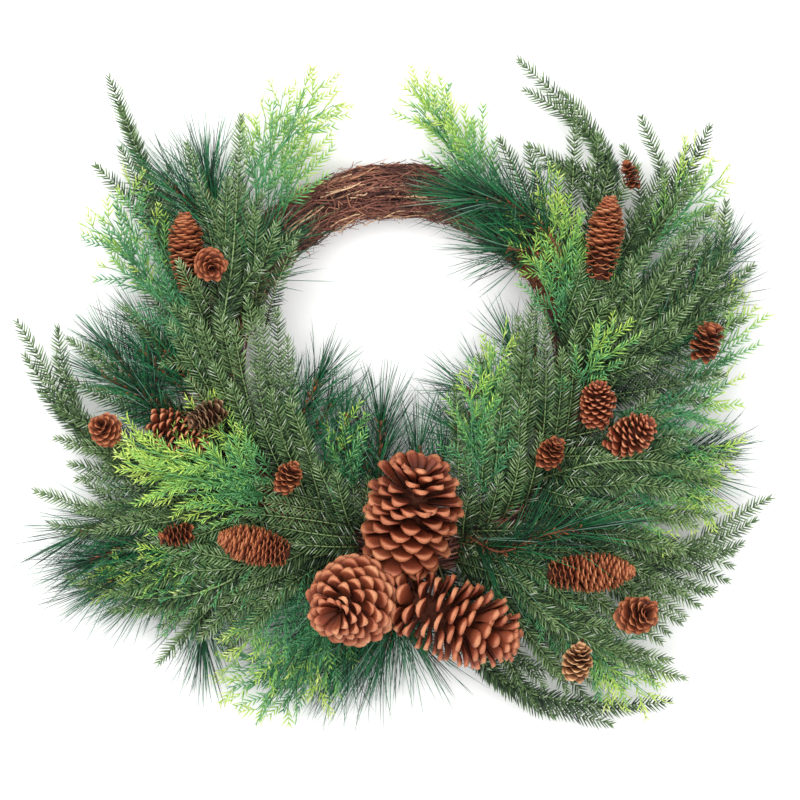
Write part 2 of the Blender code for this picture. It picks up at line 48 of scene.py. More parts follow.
ringMiddle = np.array([(ringLow.x + ringHigh.x) / 2, (ringLow.y + ringHigh.y) / 2, 0.0]) / cm
tableGap = 0.06  # nothing reaches lower than this above the table
pressedBelow = 0.8  # what hangs lower than this is pressed up, more and more towards the gap
tintSteps = 24  # how many shades a colour is cut into
cellMargin = (0.03, 0.04)  # how much of a colour cell's edge stays free on the bake map
goldenTurn = math.radians(137.508)  # from one cone scale to the next
up = np.array([0.0, 0.0, 1.0])


def unit(v):
    return v / np.maximum(np.linalg.norm(v, axis=-1, keepdims=True), 1e-9)


def linear(colour):  # from screen values, 0 to 255
    return tuple((c / 255 / 12.92) if c < 11 else (((c / 255) + 0.055) / 1.055) ** 2.4 for c in colour)


def deselectAll():
    if bpy.context.object and bpy.context.object.mode == "EDIT":
        bpy.ops.object.mode_set(mode="OBJECT")
    bpy.ops.object.select_all(action="DESELECT")


def smoothCurve(points, step):
    # a curve through the points, in steps of about this length
    points = np.array(points, float)
    before = np.vstack([2 * points[0] - points[1], points, 2 * points[-1] - points[-2]])
    out = []
    for i in range(len(points) - 1):
        p0, p1, p2, p3 = before[i:i + 4]
        n = max(2, int(np.linalg.norm(p2 - p1) / step))
        t = np.linspace(0, 1, n, endpoint=i == len(points) - 2)[:, None]
        out.append(0.5 * (2 * p1 + (p2 - p0) * t + (2 * p0 - 5 * p1 + 4 * p2 - p3) * t ** 2
                          + (3 * p1 - p0 - 3 * p2 + p3) * t ** 3))
    return np.vstack(out)


def bendCurve(start, middle, end, step):
    n = max(4, int(np.linalg.norm(end - start) / step) + 1)
    t = np.linspace(0, 1, n)[:, None]
    return start * (1 - t) ** 2 + middle * 2 * t * (1 - t) + end * t ** 2


def pathLength(path):
    return np.linalg.norm(np.diff(path, axis=0), axis=1).sum()


def acrossPath(ahead, turn, flat=1.0):
    # the way out of a path at these turns about it, where 0 is upwards, and the way up
    side = unit(np.cross(ahead, up))
    above = np.cross(side, ahead)
    return np.cos(turn) * above * flat + np.sin(turn) * side, above


def along(path, spacing, start):
    # points spaced evenly from start on, with the heading there and how far along the path each is
    lengths = np.linalg.norm(np.diff(path, axis=0), axis=1)
    total = np.concatenate([[0], np.cumsum(lengths)])
    far = np.arange(start + spacing / 2, max(total[-1], start + spacing), spacing)
    place = np.stack([np.interp(far, total, path[:, i]) for i in range(3)], 1)
    ahead, behind = (np.stack([np.interp(far + step, total, path[:, i]) for i in range(3)], 1)
                     for step in (0.15, -0.15))
    return place, unit(ahead - behind), far / total[-1]


def takeShape(sides=0):
    # the active object's mesh as arrays, triangles and quads apart, then the object goes
    obj = bpy.context.object
    verts = np.array([v.co for v in obj.data.vertices])
    low, high = verts.min(0), verts.max(0)
    share = (verts[:, 2] - low[2]) / (high[2] - low[2])
    shape = {"verts": verts, "share": share, "tris": [], "quads": [], "uvTris": [], "uvQuads": []}
    for polygon in obj.data.polygons:
        face = list(polygon.vertices)
        middle = verts[face].mean(0)
        turn = math.atan2(middle[1], middle[0])
        corners = []
        for i in face:
            if sides:  # a slim shape: the map runs along it, one strip to a side
                off = (math.atan2(verts[i][1], verts[i][0]) - turn + math.pi) % (2 * math.pi) - math.pi
                off = off if np.hypot(*verts[i][:2]) > 1e-6 else 0.0
                across = (turn / (2 * math.pi)) % 1 * 0.8 + 0.1 + off / (2 * math.pi) * 0.8
            else:  # a flat shape: front and back lie side by side on the map
                across = (verts[i][0] - low[0]) / (high[0] - low[0]) * 0.44
                across += 0.03 if middle[1] >= 0 else 0.53
            corners.append((share[i], across))
        kind = "Quads" if len(face) == 4 else "Tris"
        shape[kind.lower()].append(face)
        shape["uv" + kind].append(corners)
    for kind, count in (("Tris", 3), ("Quads", 4)):
        shape[kind.lower()] = np.array(shape[kind.lower()], int).reshape(-1, count)
        shape["uv" + kind] = np.array(shape["uv" + kind], float).reshape(-1, count, 2)
    deselectAll()
    bpy.data.objects.remove(obj)
    return shape


def cutStrips(name, high, across=1):
    # the active object, a unit high on its foot, is cut into this many strips up and across
    obj = bpy.context.object
    obj.name = name
    bpy.ops.object.transform_apply(location=True)
    bpy.ops.object.mode_set(mode="EDIT")
    planes = [((0, 0, k / high), (0, 0, 1)) for k in range(1, high)]
    planes += [((k / across - 0.5, 0, 0), (1, 0, 0)) for k in range(1, across)]
    for place, normal in planes:
        bpy.ops.mesh.select_all(action="SELECT")
        bpy.ops.mesh.bisect(plane_co=place, plane_no=normal)
    bpy.ops.object.mode_set(mode="OBJECT")
    return obj


def needleShape(name, sides, cuts, thick, taper):
    # a slim spindle standing on its foot, a unit long; taper says how wide it is on the way up
    deselectAll()
    bpy.ops.mesh.primitive_cone_add(vertices=sides, radius1=0.5, radius2=0.5, depth=1, location=(0, 0, 0.5))
    obj = cutStrips(name, cuts)
    for v in obj.data.vertices:
        size = np.interp(v.co.z, *taper)
        v.co.x *= size
        v.co.y *= size * thick
    bpy.ops.object.mode_set(mode="EDIT")
    bpy.ops.mesh.select_all(action="SELECT")
    bpy.ops.mesh.remove_doubles(threshold=0.02)
    bpy.ops.object.mode_set(mode="OBJECT")
    return takeShape(sides)


def scaleShape(name, outline, thickness, cup, cuts):
    # a cone's scale standing on its root: outline and thickness say how wide and thick it is on the way up,
    # cup is how far its middle bulges, and cuts how many strips it has across and up
    deselectAll()
    bpy.ops.mesh.primitive_cube_add(size=1, location=(0, 0, 0.5))
    obj = cutStrips(name, cuts[1], cuts[0])
    for v in obj.data.vertices:
        t, side = v.co.z, v.co.x * 2
        width = np.interp(t, *outline)
        thinner = 1 - 0.6 * side * side  # towards its sides
        v.co.y = v.co.y * np.interp(t, *thickness) * thinner + cup * (1 - side * side) * t
        v.co.x *= width
        v.co.z -= 0.16 * side * side * t  # a rounded end
    return takeShape()


def faceMap(*columns):
    return np.stack(columns, 1).reshape(len(columns[0]), -1, 2)


def rod(path, radii, sides, tint=0.5, part=0):
    # a tapering round rod along the path, closed at both ends
    path = np.asarray(path, float)
    n = len(path)
    radius = np.interp(np.linspace(0, 1, n), np.linspace(0, 1, len(radii)), radii)
    heading = unit(np.gradient(path, axis=0))
    sideways = unit(np.cross(heading, up) + np.array([1e-4, 0, 0]))
    above = np.cross(sideways, heading)
    turn = np.arange(sides) / sides * 2 * math.pi
    ring = np.cos(turn)[:, None, None] * sideways + np.sin(turn)[:, None, None] * above
    verts = (path + ring * radius[:, None]).transpose(1, 0, 2).reshape(-1, 3)
    footPoint = path[:1] - heading[:1] * radius[0] * 0.3
    verts = np.vstack([verts, footPoint, path[-1:] + heading[-1:] * radius[-1]])
    share = np.concatenate([np.repeat(np.linspace(0, 1, n), sides), [0, 1]])
    i, k = (a.ravel() for a in np.meshgrid(np.arange(n - 1), np.arange(sides), indexing="ij"))
    after = (k + 1) % sides
    # the ring runs clockwise seen from the tip, so the corners go round it backwards to face outwards
    quads = np.stack([(i + 1) * sides + k, (i + 1) * sides + after, i * sides + after, i * sides + k], 1)
    along0, along1, along2, along3 = share[quads].T
    uvQuads = faceMap(along0, k / sides, along1, (k + 1) / sides, along2, (k + 1) / sides, along3, k / sides)
    k = np.arange(sides)
    foot = np.stack([np.full(sides, n * sides), k, (k + 1) % sides], 1)
    tip = np.stack([np.full(sides, n * sides + 1), (n - 1) * sides + (k + 1) % sides, (n - 1) * sides + k], 1)
    near, far = np.full(sides, 0.02), np.full(sides, 0.98)
    uvFoot = faceMap(np.zeros(sides), (k + 0.5) / sides, near, k / sides, near, (k + 1) / sides)
    uvTip = faceMap(np.ones(sides), (k + 0.5) / sides, far, (k + 1) / sides, far, k / sides)
    return {"verts": verts, "quads": quads, "tris": np.vstack([foot, tip]), "uvQuads": uvQuads, "part": part,
            "uvTris": np.concatenate([uvFoot, uvTip]), "share": share, "tint": np.full(len(verts), tint)}


def stamp(shape, places, headings, facings, sizes, tints, bend=None, part=0):
    # one copy of the shape at each place: its z axis along heading, its y axis towards facing
    m, n = len(places), len(shape["verts"])
    z = unit(headings)
    x = unit(np.cross(facings, z))
    y = np.cross(z, x)
    v = shape["verts"][None] * sizes[:, None, :]
    verts = places[:, None] + v[..., :1] * x[:, None] + v[..., 1:2] * y[:, None] + v[..., 2:] * z[:, None]
    if bend is not None:
        verts = verts + bend[:, None] * (shape["share"][None, :, None] ** 2)
    shift = (np.arange(m) * n)[:, None, None]
    return {"verts": verts.reshape(-1, 3), "share": np.tile(shape["share"], m), "tint": np.repeat(tints, n),
            "quads": (shape["quads"] + shift).reshape(-1, 4), "tris": (shape["tris"] + shift).reshape(-1, 3),
            "uvQuads": np.tile(shape["uvQuads"], (m, 1, 1)), "uvTris": np.tile(shape["uvTris"], (m, 1, 1)),
            "part": part}


def makePiece(name, parts, materials):
    # one mesh from all the parts, each wearing the material its number says and mapped to its tint's cell
    base = 0
    faces, uvs, partOf = ({"Tris": [], "Quads": []} for _ in range(3))
    for p in parts:
        for kind in faces:
            found = p[kind.lower()]
            row = np.floor(np.clip(p["tint"][found[:, 0]], 0, 0.999) * tintSteps)
            uv = p["uv" + kind].copy()
            uv[..., 0] = (p["part"] + cellMargin[0] + (1 - 2 * cellMargin[0]) * uv[..., 0]) / len(materials)
            uv[..., 1] = (row[:, None] + cellMargin[1] + (1 - 2 * cellMargin[1]) * uv[..., 1]) / tintSteps
            faces[kind].append(found + base)
            uvs[kind].append(uv.reshape(-1, 2))
            partOf[kind].append(np.full(len(found), p["part"]))
        base += len(p["verts"])
    verts = np.vstack([p["verts"] for p in parts])
    height = verts[:, 2]
    pressed = tableGap + (pressedBelow - tableGap) * np.exp((height - pressedBelow) / pressedBelow)
    verts[:, 2] = np.where(height < pressedBelow, pressed, height)
    verts = (verts + ringMiddle) * cm
    tris, quads = np.vstack(faces["Tris"]), np.vstack(faces["Quads"])
    loops = np.concatenate([tris.ravel(), quads.ravel()])
    starts = np.concatenate([np.arange(len(tris)) * 3, len(tris) * 3 + np.arange(len(quads)) * 4])
    mesh = bpy.data.meshes.new(name)
    mesh.vertices.add(len(verts))
    mesh.vertices.foreach_set("co", verts.ravel())
    mesh.loops.add(len(loops))
    mesh.loops.foreach_set("vertex_index", loops)
    mesh.polygons.add(len(starts))
    mesh.polygons.foreach_set("loop_start", starts)
    mesh.polygons.foreach_set("material_index", np.concatenate(partOf["Tris"] + partOf["Quads"]))
    mesh.polygons.foreach_set("use_smooth", np.ones(len(starts), bool))
    mesh.uv_layers.new(name="OFBake").uv.foreach_set("vector", np.vstack(uvs["Tris"] + uvs["Quads"]).ravel())
    share, tint = (np.concatenate([p[label] for p in parts]) for label in ("share", "tint"))
    tint = (np.floor(np.clip(tint, 0, 0.999) * tintSteps) + 0.5) / tintSteps
    mesh.attributes.new("share", "FLOAT", "POINT").data.foreach_set("value", share)
    mesh.attributes.new("tint", "FLOAT", "POINT").data.foreach_set("value", tint)
    for material in materials:
        mesh.materials.append(material)
    mesh.update(calc_edges=True)
    mesh.validate()
    obj = bpy.data.objects.new(name, mesh)
    bpy.context.scene.collection.objects.link(obj)
    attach(obj, "root")
    return obj


mixInputA, mixInputB, mixOutput = 6, 7, 2  # a mix node's colour sockets
grainLook = {"detail": 4.0, "depth": 0.001, "mottle": 0.55,
             "From Min": 0.3, "From Max": 0.7, "To Min": 0.45, "To Max": 1.35}


def shadedBy(name, tints, shares, roughness, gloss=0.5, rough=None):
    # colour goes by each copy's own tint and by how far along it a point is; rough is (grain size, how deep)
    material = bpy.data.materials.new(name)
    material.use_nodes = True
    nodes, links = material.node_tree.nodes, material.node_tree.links
    shader = nodes["Principled BSDF"]
    shader.inputs["Roughness"].default_value = roughness
    shader.inputs["Specular IOR Level"].default_value = gloss
    ramps = []
    for label, stops in (("tint", tints), ("share", shares)):
        value = nodes.new("ShaderNodeAttribute")
        value.attribute_name = label
        ramp = nodes.new("ShaderNodeValToRGB")
        ramp.color_ramp.interpolation = "LINEAR"
        stopsLeft = ramp.color_ramp.elements
        while len(stopsLeft) < len(stops):
            stopsLeft.new(0.5)
        for element, (at, colour) in zip(stopsLeft, stops):
            element.position = at
            element.color = (*linear(colour), 1.0)
        links.new(value.outputs["Fac"], ramp.inputs["Fac"])
        ramps.append(ramp)

    def multiply(first, second, factor):
        mix = nodes.new("ShaderNodeMix")
        mix.data_type = "RGBA"
        mix.blend_type = "MULTIPLY"
        mix.inputs["Factor"].default_value = factor
        links.new(first, mix.inputs[mixInputA])
        links.new(second, mix.inputs[mixInputB])
        links.new(mix.outputs[mixOutput], shader.inputs["Base Color"])
        return mix.outputs[mixOutput]

    plain = multiply(ramps[0].outputs["Color"], ramps[1].outputs["Color"], 1.0)
    if rough:
        place = nodes.new("ShaderNodeTexCoord")
        grain = nodes.new("ShaderNodeTexNoise")
        grain.inputs["Scale"].default_value = rough[0]
        grain.inputs["Detail"].default_value = grainLook["detail"]
        bump = nodes.new("ShaderNodeBump")
        bump.inputs["Strength"].default_value = rough[1]
        bump.inputs["Distance"].default_value = grainLook["depth"]
        links.new(place.outputs["Object"], grain.inputs["Vector"])
        links.new(grain.outputs["Fac"], bump.inputs["Height"])
        links.new(bump.outputs["Normal"], shader.inputs["Normal"])
        spread = nodes.new("ShaderNodeMapRange")
        for label in ("From Min", "From Max", "To Min", "To Max"):
            spread.inputs[label].default_value = grainLook[label]
        links.new(grain.outputs["Fac"], spread.inputs["Value"])
        multiply(plain, spread.outputs["Result"], grainLook["mottle"])
    return material


white = (255, 255, 255)
# cone scales darken towards the root: painted shade where each lies under the next
scaleRootShade = [(0.0, (70, 54, 48)), (0.5, (118, 96, 88)), (0.8, (190, 164, 150)), (0.94, white), (1.0, white)]
spruceNeedle = shadedBy("spruceNeedle",
                        [(0.0, (16, 32, 24)), (0.25, (46, 72, 46)), (0.5, (82, 112, 68)),
                         # the last, near-white colour is for the painted glints
                         (0.78, (124, 154, 98)), (0.94, (164, 188, 140)), (1.0, (232, 240, 230))],
                        # darker towards each needle's foot by the twig: painted shade between the needles
                        [(0.0, (110, 120, 104)), (0.35, (200, 208, 194)), (0.7, white), (1.0, white)],
                        0.5, 0.35)
spruceTwig = shadedBy("spruceTwig", [(0.0, (84, 112, 64)), (1.0, (136, 164, 106))],
                      [(0.0, (170, 130, 100)), (0.4, white), (1.0, white)], 0.6)
pineNeedle = shadedBy("pineNeedle",
                      [(0.0, (20, 32, 34)), (0.3, (22, 66, 46)), (0.6, (24, 106, 64)),
                       # the last, palest colour is for the painted glints
                       (0.85, (46, 146, 86)), (1.0, (140, 170, 158))],
                      [(0.0, (200, 200, 195)), (1.0, white)], 0.5, 0.3)
pineTwig = shadedBy("pineTwig", [(0.0, (96, 56, 36)), (1.0, (150, 92, 58))],
                    [(0.0, (200, 190, 180)), (1.0, white)], 0.8)
pineBract = shadedBy("pineBract", [(0.0, (130, 70, 40)), (1.0, (212, 126, 76))],
                     [(0.0, (170, 150, 140)), (1.0, white)], 0.7)
cedarLeaf = shadedBy("cedarLeaf",
                     [(0.0, (68, 138, 98)), (0.3, (112, 182, 116)), (0.5, (162, 214, 108)),
                      (0.75, (212, 238, 106)), (1.0, (242, 252, 166))],
                     [(0.0, (176, 194, 176)), (0.5, (240, 244, 240)), (1.0, white)], 0.45, 0.4)
coneScale = shadedBy("coneScale", [(0.0, (180, 106, 74)), (0.5, (212, 134, 96)), (1.0, (240, 174, 130))],
                     # darker towards the root: painted shade where each scale lies under the next
                     [(0.0, (90, 68, 62)), (0.45, (126, 94, 86)), (0.68, (156, 118, 108)),
                      (0.86, (176, 138, 126)), (0.93, (222, 208, 200)), (0.99, (236, 230, 224))],
                     0.5, 0.4, rough=(900.0, 0.5))
paleScale = shadedBy("paleScale", [(0.0, (184, 130, 86)), (1.0, (236, 190, 140))], scaleRootShade, 0.6, 0.4)
greyScale = shadedBy("greyScale", [(0.0, (130, 98, 70)), (1.0, (176, 150, 118))], scaleRootShade, 0.6, 0.4)
smallScale = shadedBy("smallScale",
                      [(0.0, (132, 70, 42)), (0.4, (180, 102, 62)), (0.75, (206, 134, 88)),
                       (1.0, (232, 186, 142))],
                      scaleRootShade, 0.6, 0.4, rough=(1400.0, 0.4))
coneCore = shadedBy("coneCore", [(0.0, (70, 38, 28)), (1.0, (90, 50, 36))], [(0.0, white), (1.0, white)],
                    0.9, 0.1, rough=(900.0, 0.5))
ringTwig = shadedBy("ringTwig",
                    [(0.0, (58, 32, 28)), (0.35, (118, 70, 60)), (0.75, (180, 118, 98)),
                     (0.9, (206, 150, 112)), (1.0, (248, 210, 168))],
                    [(0.0, (220, 220, 220)), (1.0, white)], 0.75, 0.4, rough=(500.0, 0.5))
print("materials made")

# sides, cuts, thickness against width, and the taper
spruceUnit = needleShape("spruceUnit", 4, 3, 0.6, ([0, 0.34, 0.67, 1], [0.7, 1.0, 0.85, 0.0]))
pineUnit = needleShape("pineUnit", 3, 4, 1.0, ([0, 0.5, 0.8, 1], [1.0, 1.0, 0.8, 0.0]))
leafUnit = needleShape("leafUnit", 4, 2, 0.5, ([0, 0.5, 1], [0.75, 1.0, 0.0]))
bractUnit = needleShape("bractUnit", 4, 3, 0.25, ([0, 0.4, 0.7, 1], [0.5, 1.0, 0.8, 0.0]))
print("unit shapes made")

# root: where the cut end enters the ring. stem: the points up to its tip, with heights. twigs: how far along
# the stem each leaves, and its tip. fans: thin twigs laid beside them, rooted between two points, the height
# of their tips, and the tips. lime: a cedar's tint at the foot, at the tip, and where it starts to turn.
# from: the bare share of a stem. sparse, reach: how far apart and how long a pine's needles are
boughs = {
    # back layer
    "pine_bough_01": {"root": (-11.2, -9), "stem": [(-16, -14, 3.6), (-22.4, -15, 2.6)],
        "twigs": [(0.35, (-20.2, -17.6)), (0.22, (-15.6, -21.2))], "reach": 1,
        "fans": [((-12, -9.4), (-11, -10.4), 3.4, [(-25.2, -12.8), (-24.4, -15), (-23.4, -17),
        (-20.6, -15.4)])]},
    "pine_bough_02": {"root": (-0.4, -14.6), "stem": [(-0.6, -19.4, 3.8), (-3.2, -22.8, 2.8)],
        "twigs": [(0.4, (1.2, -21.2))], "reach": 1.1,
        "fans": [((-3.4, -14.8), (1.4, -14.8), 3.2, [(-8, -21.4), (-6.4, -22.2), (-4.8, -22.4),
        (-1.2, -21.8)])]},
    "pine_bough_03": {"root": (13, -6.5), "stem": [(18.6, -7.4, 4.2), (24.3, -6.4, 3.6)], "reach": 0.8,
        "fans": [((13.6, -5.6), (13, -7), 3.6, [(23.4, -8.2)])]},
    "pine_bough_04": {"root": (14.8, -1.6), "stem": [(20.8, 2.2, 4.2), (25, 8.2, 3.8)], "reach": 0.85,
        "fans": [((14.8, 0.4), (14.4, -1), 3.8, [(23.6, 8.6), (24.8, 5.8)])]},
    "pine_bough_05": {"root": (-13, 5.2), "stem": [(-14.2, 10.2, 4.6), (-15.2, 15.3, 4)],
        "twigs": [(0.4, (-17.6, 14.2)), (0.12, (-10.6, 9.8))], "reach": 1,
        "fans": [((-12.6, 5.6), (-11.2, 6.6), 4.6, [(-14, 12.6), (-10.4, 9), (-10.6, 7.2)])]},
    "pine_bough_06": {"root": (-13.9, -5), "stem": [(-18.4, -3.9, 4.6), (-20.5, -1.2, 4.8),
        (-22.8, 1.8, 4.4)], "twigs": [(0.4, (-18.6, 1.2))], "reach": 0.75,
        "fans": [((-14.6, -3.4), (-14, -5), 4.4, [(-17.6, 1), (-20.4, 1.6), (-20.2, 3.4),
        (-23.4, -0.4)])]},
    "cedar_bough_01": {"root": (-11.6, 8), "stem": [(-11.2, 13.4, 4.8), (-9.2, 18, 3.8),
        (-5.9, 22.9, 3)], "twigs": [(0.42, (-9.2, 21.9)), (0.5, (-5.2, 20.9)), (0.28, (-12, 19.2))],
        "lime": (0.2, 1, 0.35), "from": 0.3, "fans": [((-12, 8.6), (-10.4, 9.6), 4, [(-10.6, 19.8),
        (-8.4, 19.4), (-6.8, 18.8), (-7.8, 16.8)])]},
    "cedar_bough_02": {"root": (10.2, 9.4), "stem": [(5.8, 14.8, 4.9), (3.4, 18.8, 3.8), (0.7, 22.9, 3)],
        "twigs": [(0.5, (0.9, 21.2)), (0.52, (2, 22.3)), (0.35, (5.2, 19.2))], "lime": (0.15, 1, 0.35),
        "from": 0.3, "fans": [((9, 10.8), (9.8, 10.2), 4.2, [(2.2, 19.8), (3.8, 20.2), (4.6, 17.8)])]},
    "spruce_bough_01": {"root": (-14.8, -1.6), "stem": [(-16.7, 5.8, 4.6), (-18.9, 12.6, 4.2),
        (-23, 23.2, 3)], "twigs": [(0.38, (-22.2, 20.9)), (0.25, (-24.1, 16.2)), (0.45, (-18.3, 16.2))],
        "fans": [((-16.4, 3.4), (-14.6, 5.8), 4.4, [(-22, 17.6), (-20.6, 14.6), (-19.4, 12.2),
        (-18.2, 14.8), (-17, 13)]), ((-16.4, -0.8), (-15.2, 2.4), 4.8, [(-21.8, 5), (-21, 7.8),
        (-19.4, 7), (-17.8, 8.6)])]},
    "spruce_bough_02": {"root": (-14.2, -6.9), "stem": [(-20, -8, 4.4), (-25.2, -4.6, 4),
        (-28.2, 0.6, 3.6), (-30.2, 3.8, 3)], "twigs": [(0.28, (-27.1, 3.3)), (0.34, (-27.2, 1.2)),
        (0.44, (-28.4, -1.7)), (0.54, (-29.6, 1.1)), (0.2, (-26, -7.4))],
        "fans": [((-15.6, -7), (-14.6, -3.8), 4.4, [(-27, -5.4), (-27, -3), (-26.2, -0.6),
        (-26, 2.4), (-24.6, 1.8), (-23.8, -1.4)]), ((-14.8, -8.2), (-14.6, -5.6), 4.8, [(-25.4, -8.6),
        (-26.2, -6), (-24.8, -6.4), (-23.2, -7.6), (-21.6, -5.8), (-20.4, -7.4)])]},
    "spruce_bough_03": {"root": (12.4, 6.6), "stem": [(16.2, 11.6, 4.4), (16.2, 16.4, 4),
        (12.6, 21.3, 3.6), (9.4, 24.5, 3)], "twigs": [(0.4, (9.9, 22.1)), (0.42, (12.9, 21.9)),
        (0.38, (11.3, 16.1)), (0.24, (12.2, 16.4)), (0.2, (10.1, 17.8))],
        "fans": [((13.8, 7.4), (11.8, 9.2), 4.6, [(15.6, 18.6), (13.8, 19.4), (12.3, 16.2), (10, 17.5),
        (7.8, 18.2)])]},
    "spruce_bough_04": {"root": (13.9, 3.4), "stem": [(18.6, 9, 4.6), (20.8, 14.2, 4.2),
        (19, 20, 3.6)], "twigs": [(0.32, (17.6, 17.6)), (0.48, (22.7, 17.6)), (0.3, (24.4, 19.2)),
        (0.22, (18, 12.6))], "fans": [((15.2, 3.4), (13.4, 6.4), 5.2, [(23.6, 15.4), (22.2, 14),
        (20.8, 16), (19.8, 13.6), (18.6, 16), (17.2, 14), (16.4, 16)])]},
    "cedar_bough_03": {"root": (14, 1.8), "stem": [(19.4, 9, 5), (23.3, 17.4, 4)],
        "twigs": [(0.45, (25.3, 15.2)), (0.5, (24.6, 12.6))], "lime": (0.2, 1, 0.45)},
    "spruce_bough_05": {"root": (2.8, -14.8), "stem": [(5.6, -22, 3.8), (10, -26, 2.6),
        (16.8, -28.1, 1.8)], "twigs": [(0.3, (12.3, -27.5)), (0.32, (18.7, -26.9)), (0.28, (21.6, -26.3)),
        (0.2, (14.2, -24))], "fans": [((3.4, -15.2), (6.4, -14.2), 3.2, [(10.8, -26.4), (14.8, -26),
        (17.6, -25.2), (20, -24.4)]), ((4.6, -15), (7.4, -14.2), 3.4, [(11.4, -25), (13.2, -25.4),
        (15.2, -24.8), (17, -23.8)]), ((5, -15.4), (8.4, -13.6), 4.2, [(9.4, -24.8), (12.2, -23.8),
        (14.6, -23), (16.6, -21.6), (17.6, -20.4)]), ((-0.4, -15.6), (3, -15.2), 3, [(-1.6, -20.8),
        (2, -22.4), (6.4, -23.2)])]},
    "cedar_bough_04": {"root": (8, -12.2), "stem": [(12.6, -19.6, 4.4), (19.8, -25.8, 2.8)],
        "twigs": [(0.5, (20.6, -23.6)), (0.55, (16.6, -25.6))], "lime": (0.15, 0.95, 0.5),
        "fans": [((7, -13), (8.2, -12), 3.8, [(17, -24.4)])]},
    "spruce_bough_06": {"root": (9.6, -11), "stem": [(14.6, -15.2, 4.4), (20.4, -14.8, 3.8),
        (29.2, -10.1, 3)], "twigs": [(0.42, (28, -11.9)), (0.36, (27, -13.7)), (0.22, (24.7, -17.3)),
        (0.14, (22.2, -19.9))], "fans": [((11.6, -10.6), (8.8, -12.4), 3.6, [(26.4, -14.4), (25.8, -16.6),
        (24.6, -17.6), (23.6, -18.6), (22.4, -19.4), (21.2, -20.8)]),
        ((11.6, -10), (8.4, -12.6), 4.4, [(24.6, -11.4), (26, -15.4), (23, -15.6), (22.4, -17.6),
        (20.6, -18.2)]), ((11.8, -9.4), (9.4, -11.6), 4.8, [(23.2, -12.2), (21.2, -11.8), (22.2, -14.2),
        (20.4, -13.6), (18.6, -15.6)])]},
    "cedar_bough_05": {"root": (-9.4, -10.9), "stem": [(-13.8, -16.2, 4.6), (-19.2, -16.8, 4),
        (-24.2, -17.7, 3.2)], "twigs": [(0.35, (-21.7, -14.2)), (0.45, (-23.3, -16.1)),
        (0.4, (-19.6, -19))], "lime": (0.15, 0.9, 0.4),
        "fans": [((-9.6, -11.4), (-8.8, -12.2), 4.6, [(-19.4, -15), (-21, -17.2), (-16.6, -17)])]},
    "cedar_bough_06": {"root": (-4.6, -13.8), "stem": [(-5.6, -19.8, 4.4), (-8.8, -23.4, 3.4),
        (-13.7, -25.2, 2.4)], "twigs": [(0.55, (-13.8, -23.4)), (0.48, (-11.4, -26.9)),
        (0.44, (-9.2, -27.2))], "lime": (0.1, 1, 0.55),
        "fans": [((-6.2, -13.6), (-3.6, -14.4), 3.8, [(-12.4, -21.8), (-10.6, -24.8), (-7.8, -25),
        (-6.4, -25.6)]), ((-7.4, -13), (-3.2, -14.6), 3.6, [(-12.2, -20.8), (-10.6, -22.4), (-8.6, -23),
        (-6.6, -23.4), (-4.6, -22.6)])]},
    # middle layer
    "spruce_bough_07": {"root": (-12.4, -8.4), "stem": [(-17.8, -11.8, 5), (-23, -11.2, 4.2),
        (-28.8, -9.5, 3.4)], "twigs": [(0.16, (-23.4, -6.7)), (0.25, (-24.6, -9)), (0.32, (-27.6, -12.1)),
        (0.2, (-24, -13))], "fans": [((-12.8, -8.6), (-10.4, -10.8), 5.2, [(-23.6, -9.4),
        (-25.4, -11), (-21.2, -11.2), (-23.8, -12.6), (-19.4, -12), (-21.4, -14), (-17.6, -13.4)])]},
    "spruce_bough_08": {"root": (-8.4, -12), "stem": [(-13.6, -16.6, 5), (-20, -17.9, 4),
        (-26.2, -16.2, 3.2)], "twigs": [(0.14, (-19, -23)), (0.26, (-18.8, -20.2)),
        (0.34, (-22.8, -18.9)), (0.3, (-21.8, -15.3)), (0.12, (-13.4, -21.4))],
        "fans": [((-9.8, -11.6), (-6.8, -13.4), 5, [(-22, -15.6), (-19.8, -16.6), (-22.6, -17.6),
        (-18.2, -18), (-20.4, -19.2)]), ((-8.4, -12.8), (-6.2, -14.4), 3.4, [(-17.4, -21),
        (-14.8, -20.6), (-13.6, -22.2), (-12.4, -20)]),
        ((-7.4, -13.4), (-5.4, -14.8), 5, [(-16.8, -19.4), (-15.8, -21.2), (-13.6, -19.4), (-12.4, -21),
        (-11.2, -18.8)])]},
    "spruce_bough_09": {"root": (6, -13.4), "stem": [(10.4, -18.2, 4.8), (15.2, -21.4, 4.4),
        (21.2, -22.8, 3.8)], "twigs": [(0.3, (19.8, -20.2)), (0.16, (16.6, -18.4)), (0.34, (22.3, -24.2)),
        (0.28, (19.4, -22.3))], "fans": [((9, -12), (5.4, -14), 4.6, [(19.8, -18.4), (17.6, -19.8),
        (20.6, -21.4), (17, -21.8), (14.2, -22.4), (12.6, -24)]),
        ((10.2, -11.4), (6.4, -13.8), 5.2, [(18, -16.6), (15.8, -17.6), (13.6, -18.6), (12.2, -20.2)]),
        ((4.6, -12.6), (4, -15), 5.2, [(12.6, -12.6), (13.4, -14.2), (12, -15.6), (10.6, -17.2)])]},
    "pine_bough_07": {"root": (11.8, -8.6), "stem": [(10.8, -2.8, 4.8), (8.7, 2, 4.4)],
        "twigs": [(0.22, (5, -1.5))], "sparse": 1.3, "reach": 0.72,
        "fans": [((11, -8.6), (9.8, -9.8), 4.2, [(10.6, 1.8), (6.6, -0.6), (5.4, -3.4), (4.2, -4.4)])]},
    "pine_bough_08": {"root": (-1.5, -12.7), "stem": [(-1.6, -8, 4.4), (-1.5, -4, 4)], "sparse": 1.2,
        "reach": 0.9, "fans": [((-2.6, -12.4), (1.4, -12.6), 4.2, [(-4.6, -5.6), (-2.8, -6), (1.6, -6),
        (3.4, -6.6)])]},
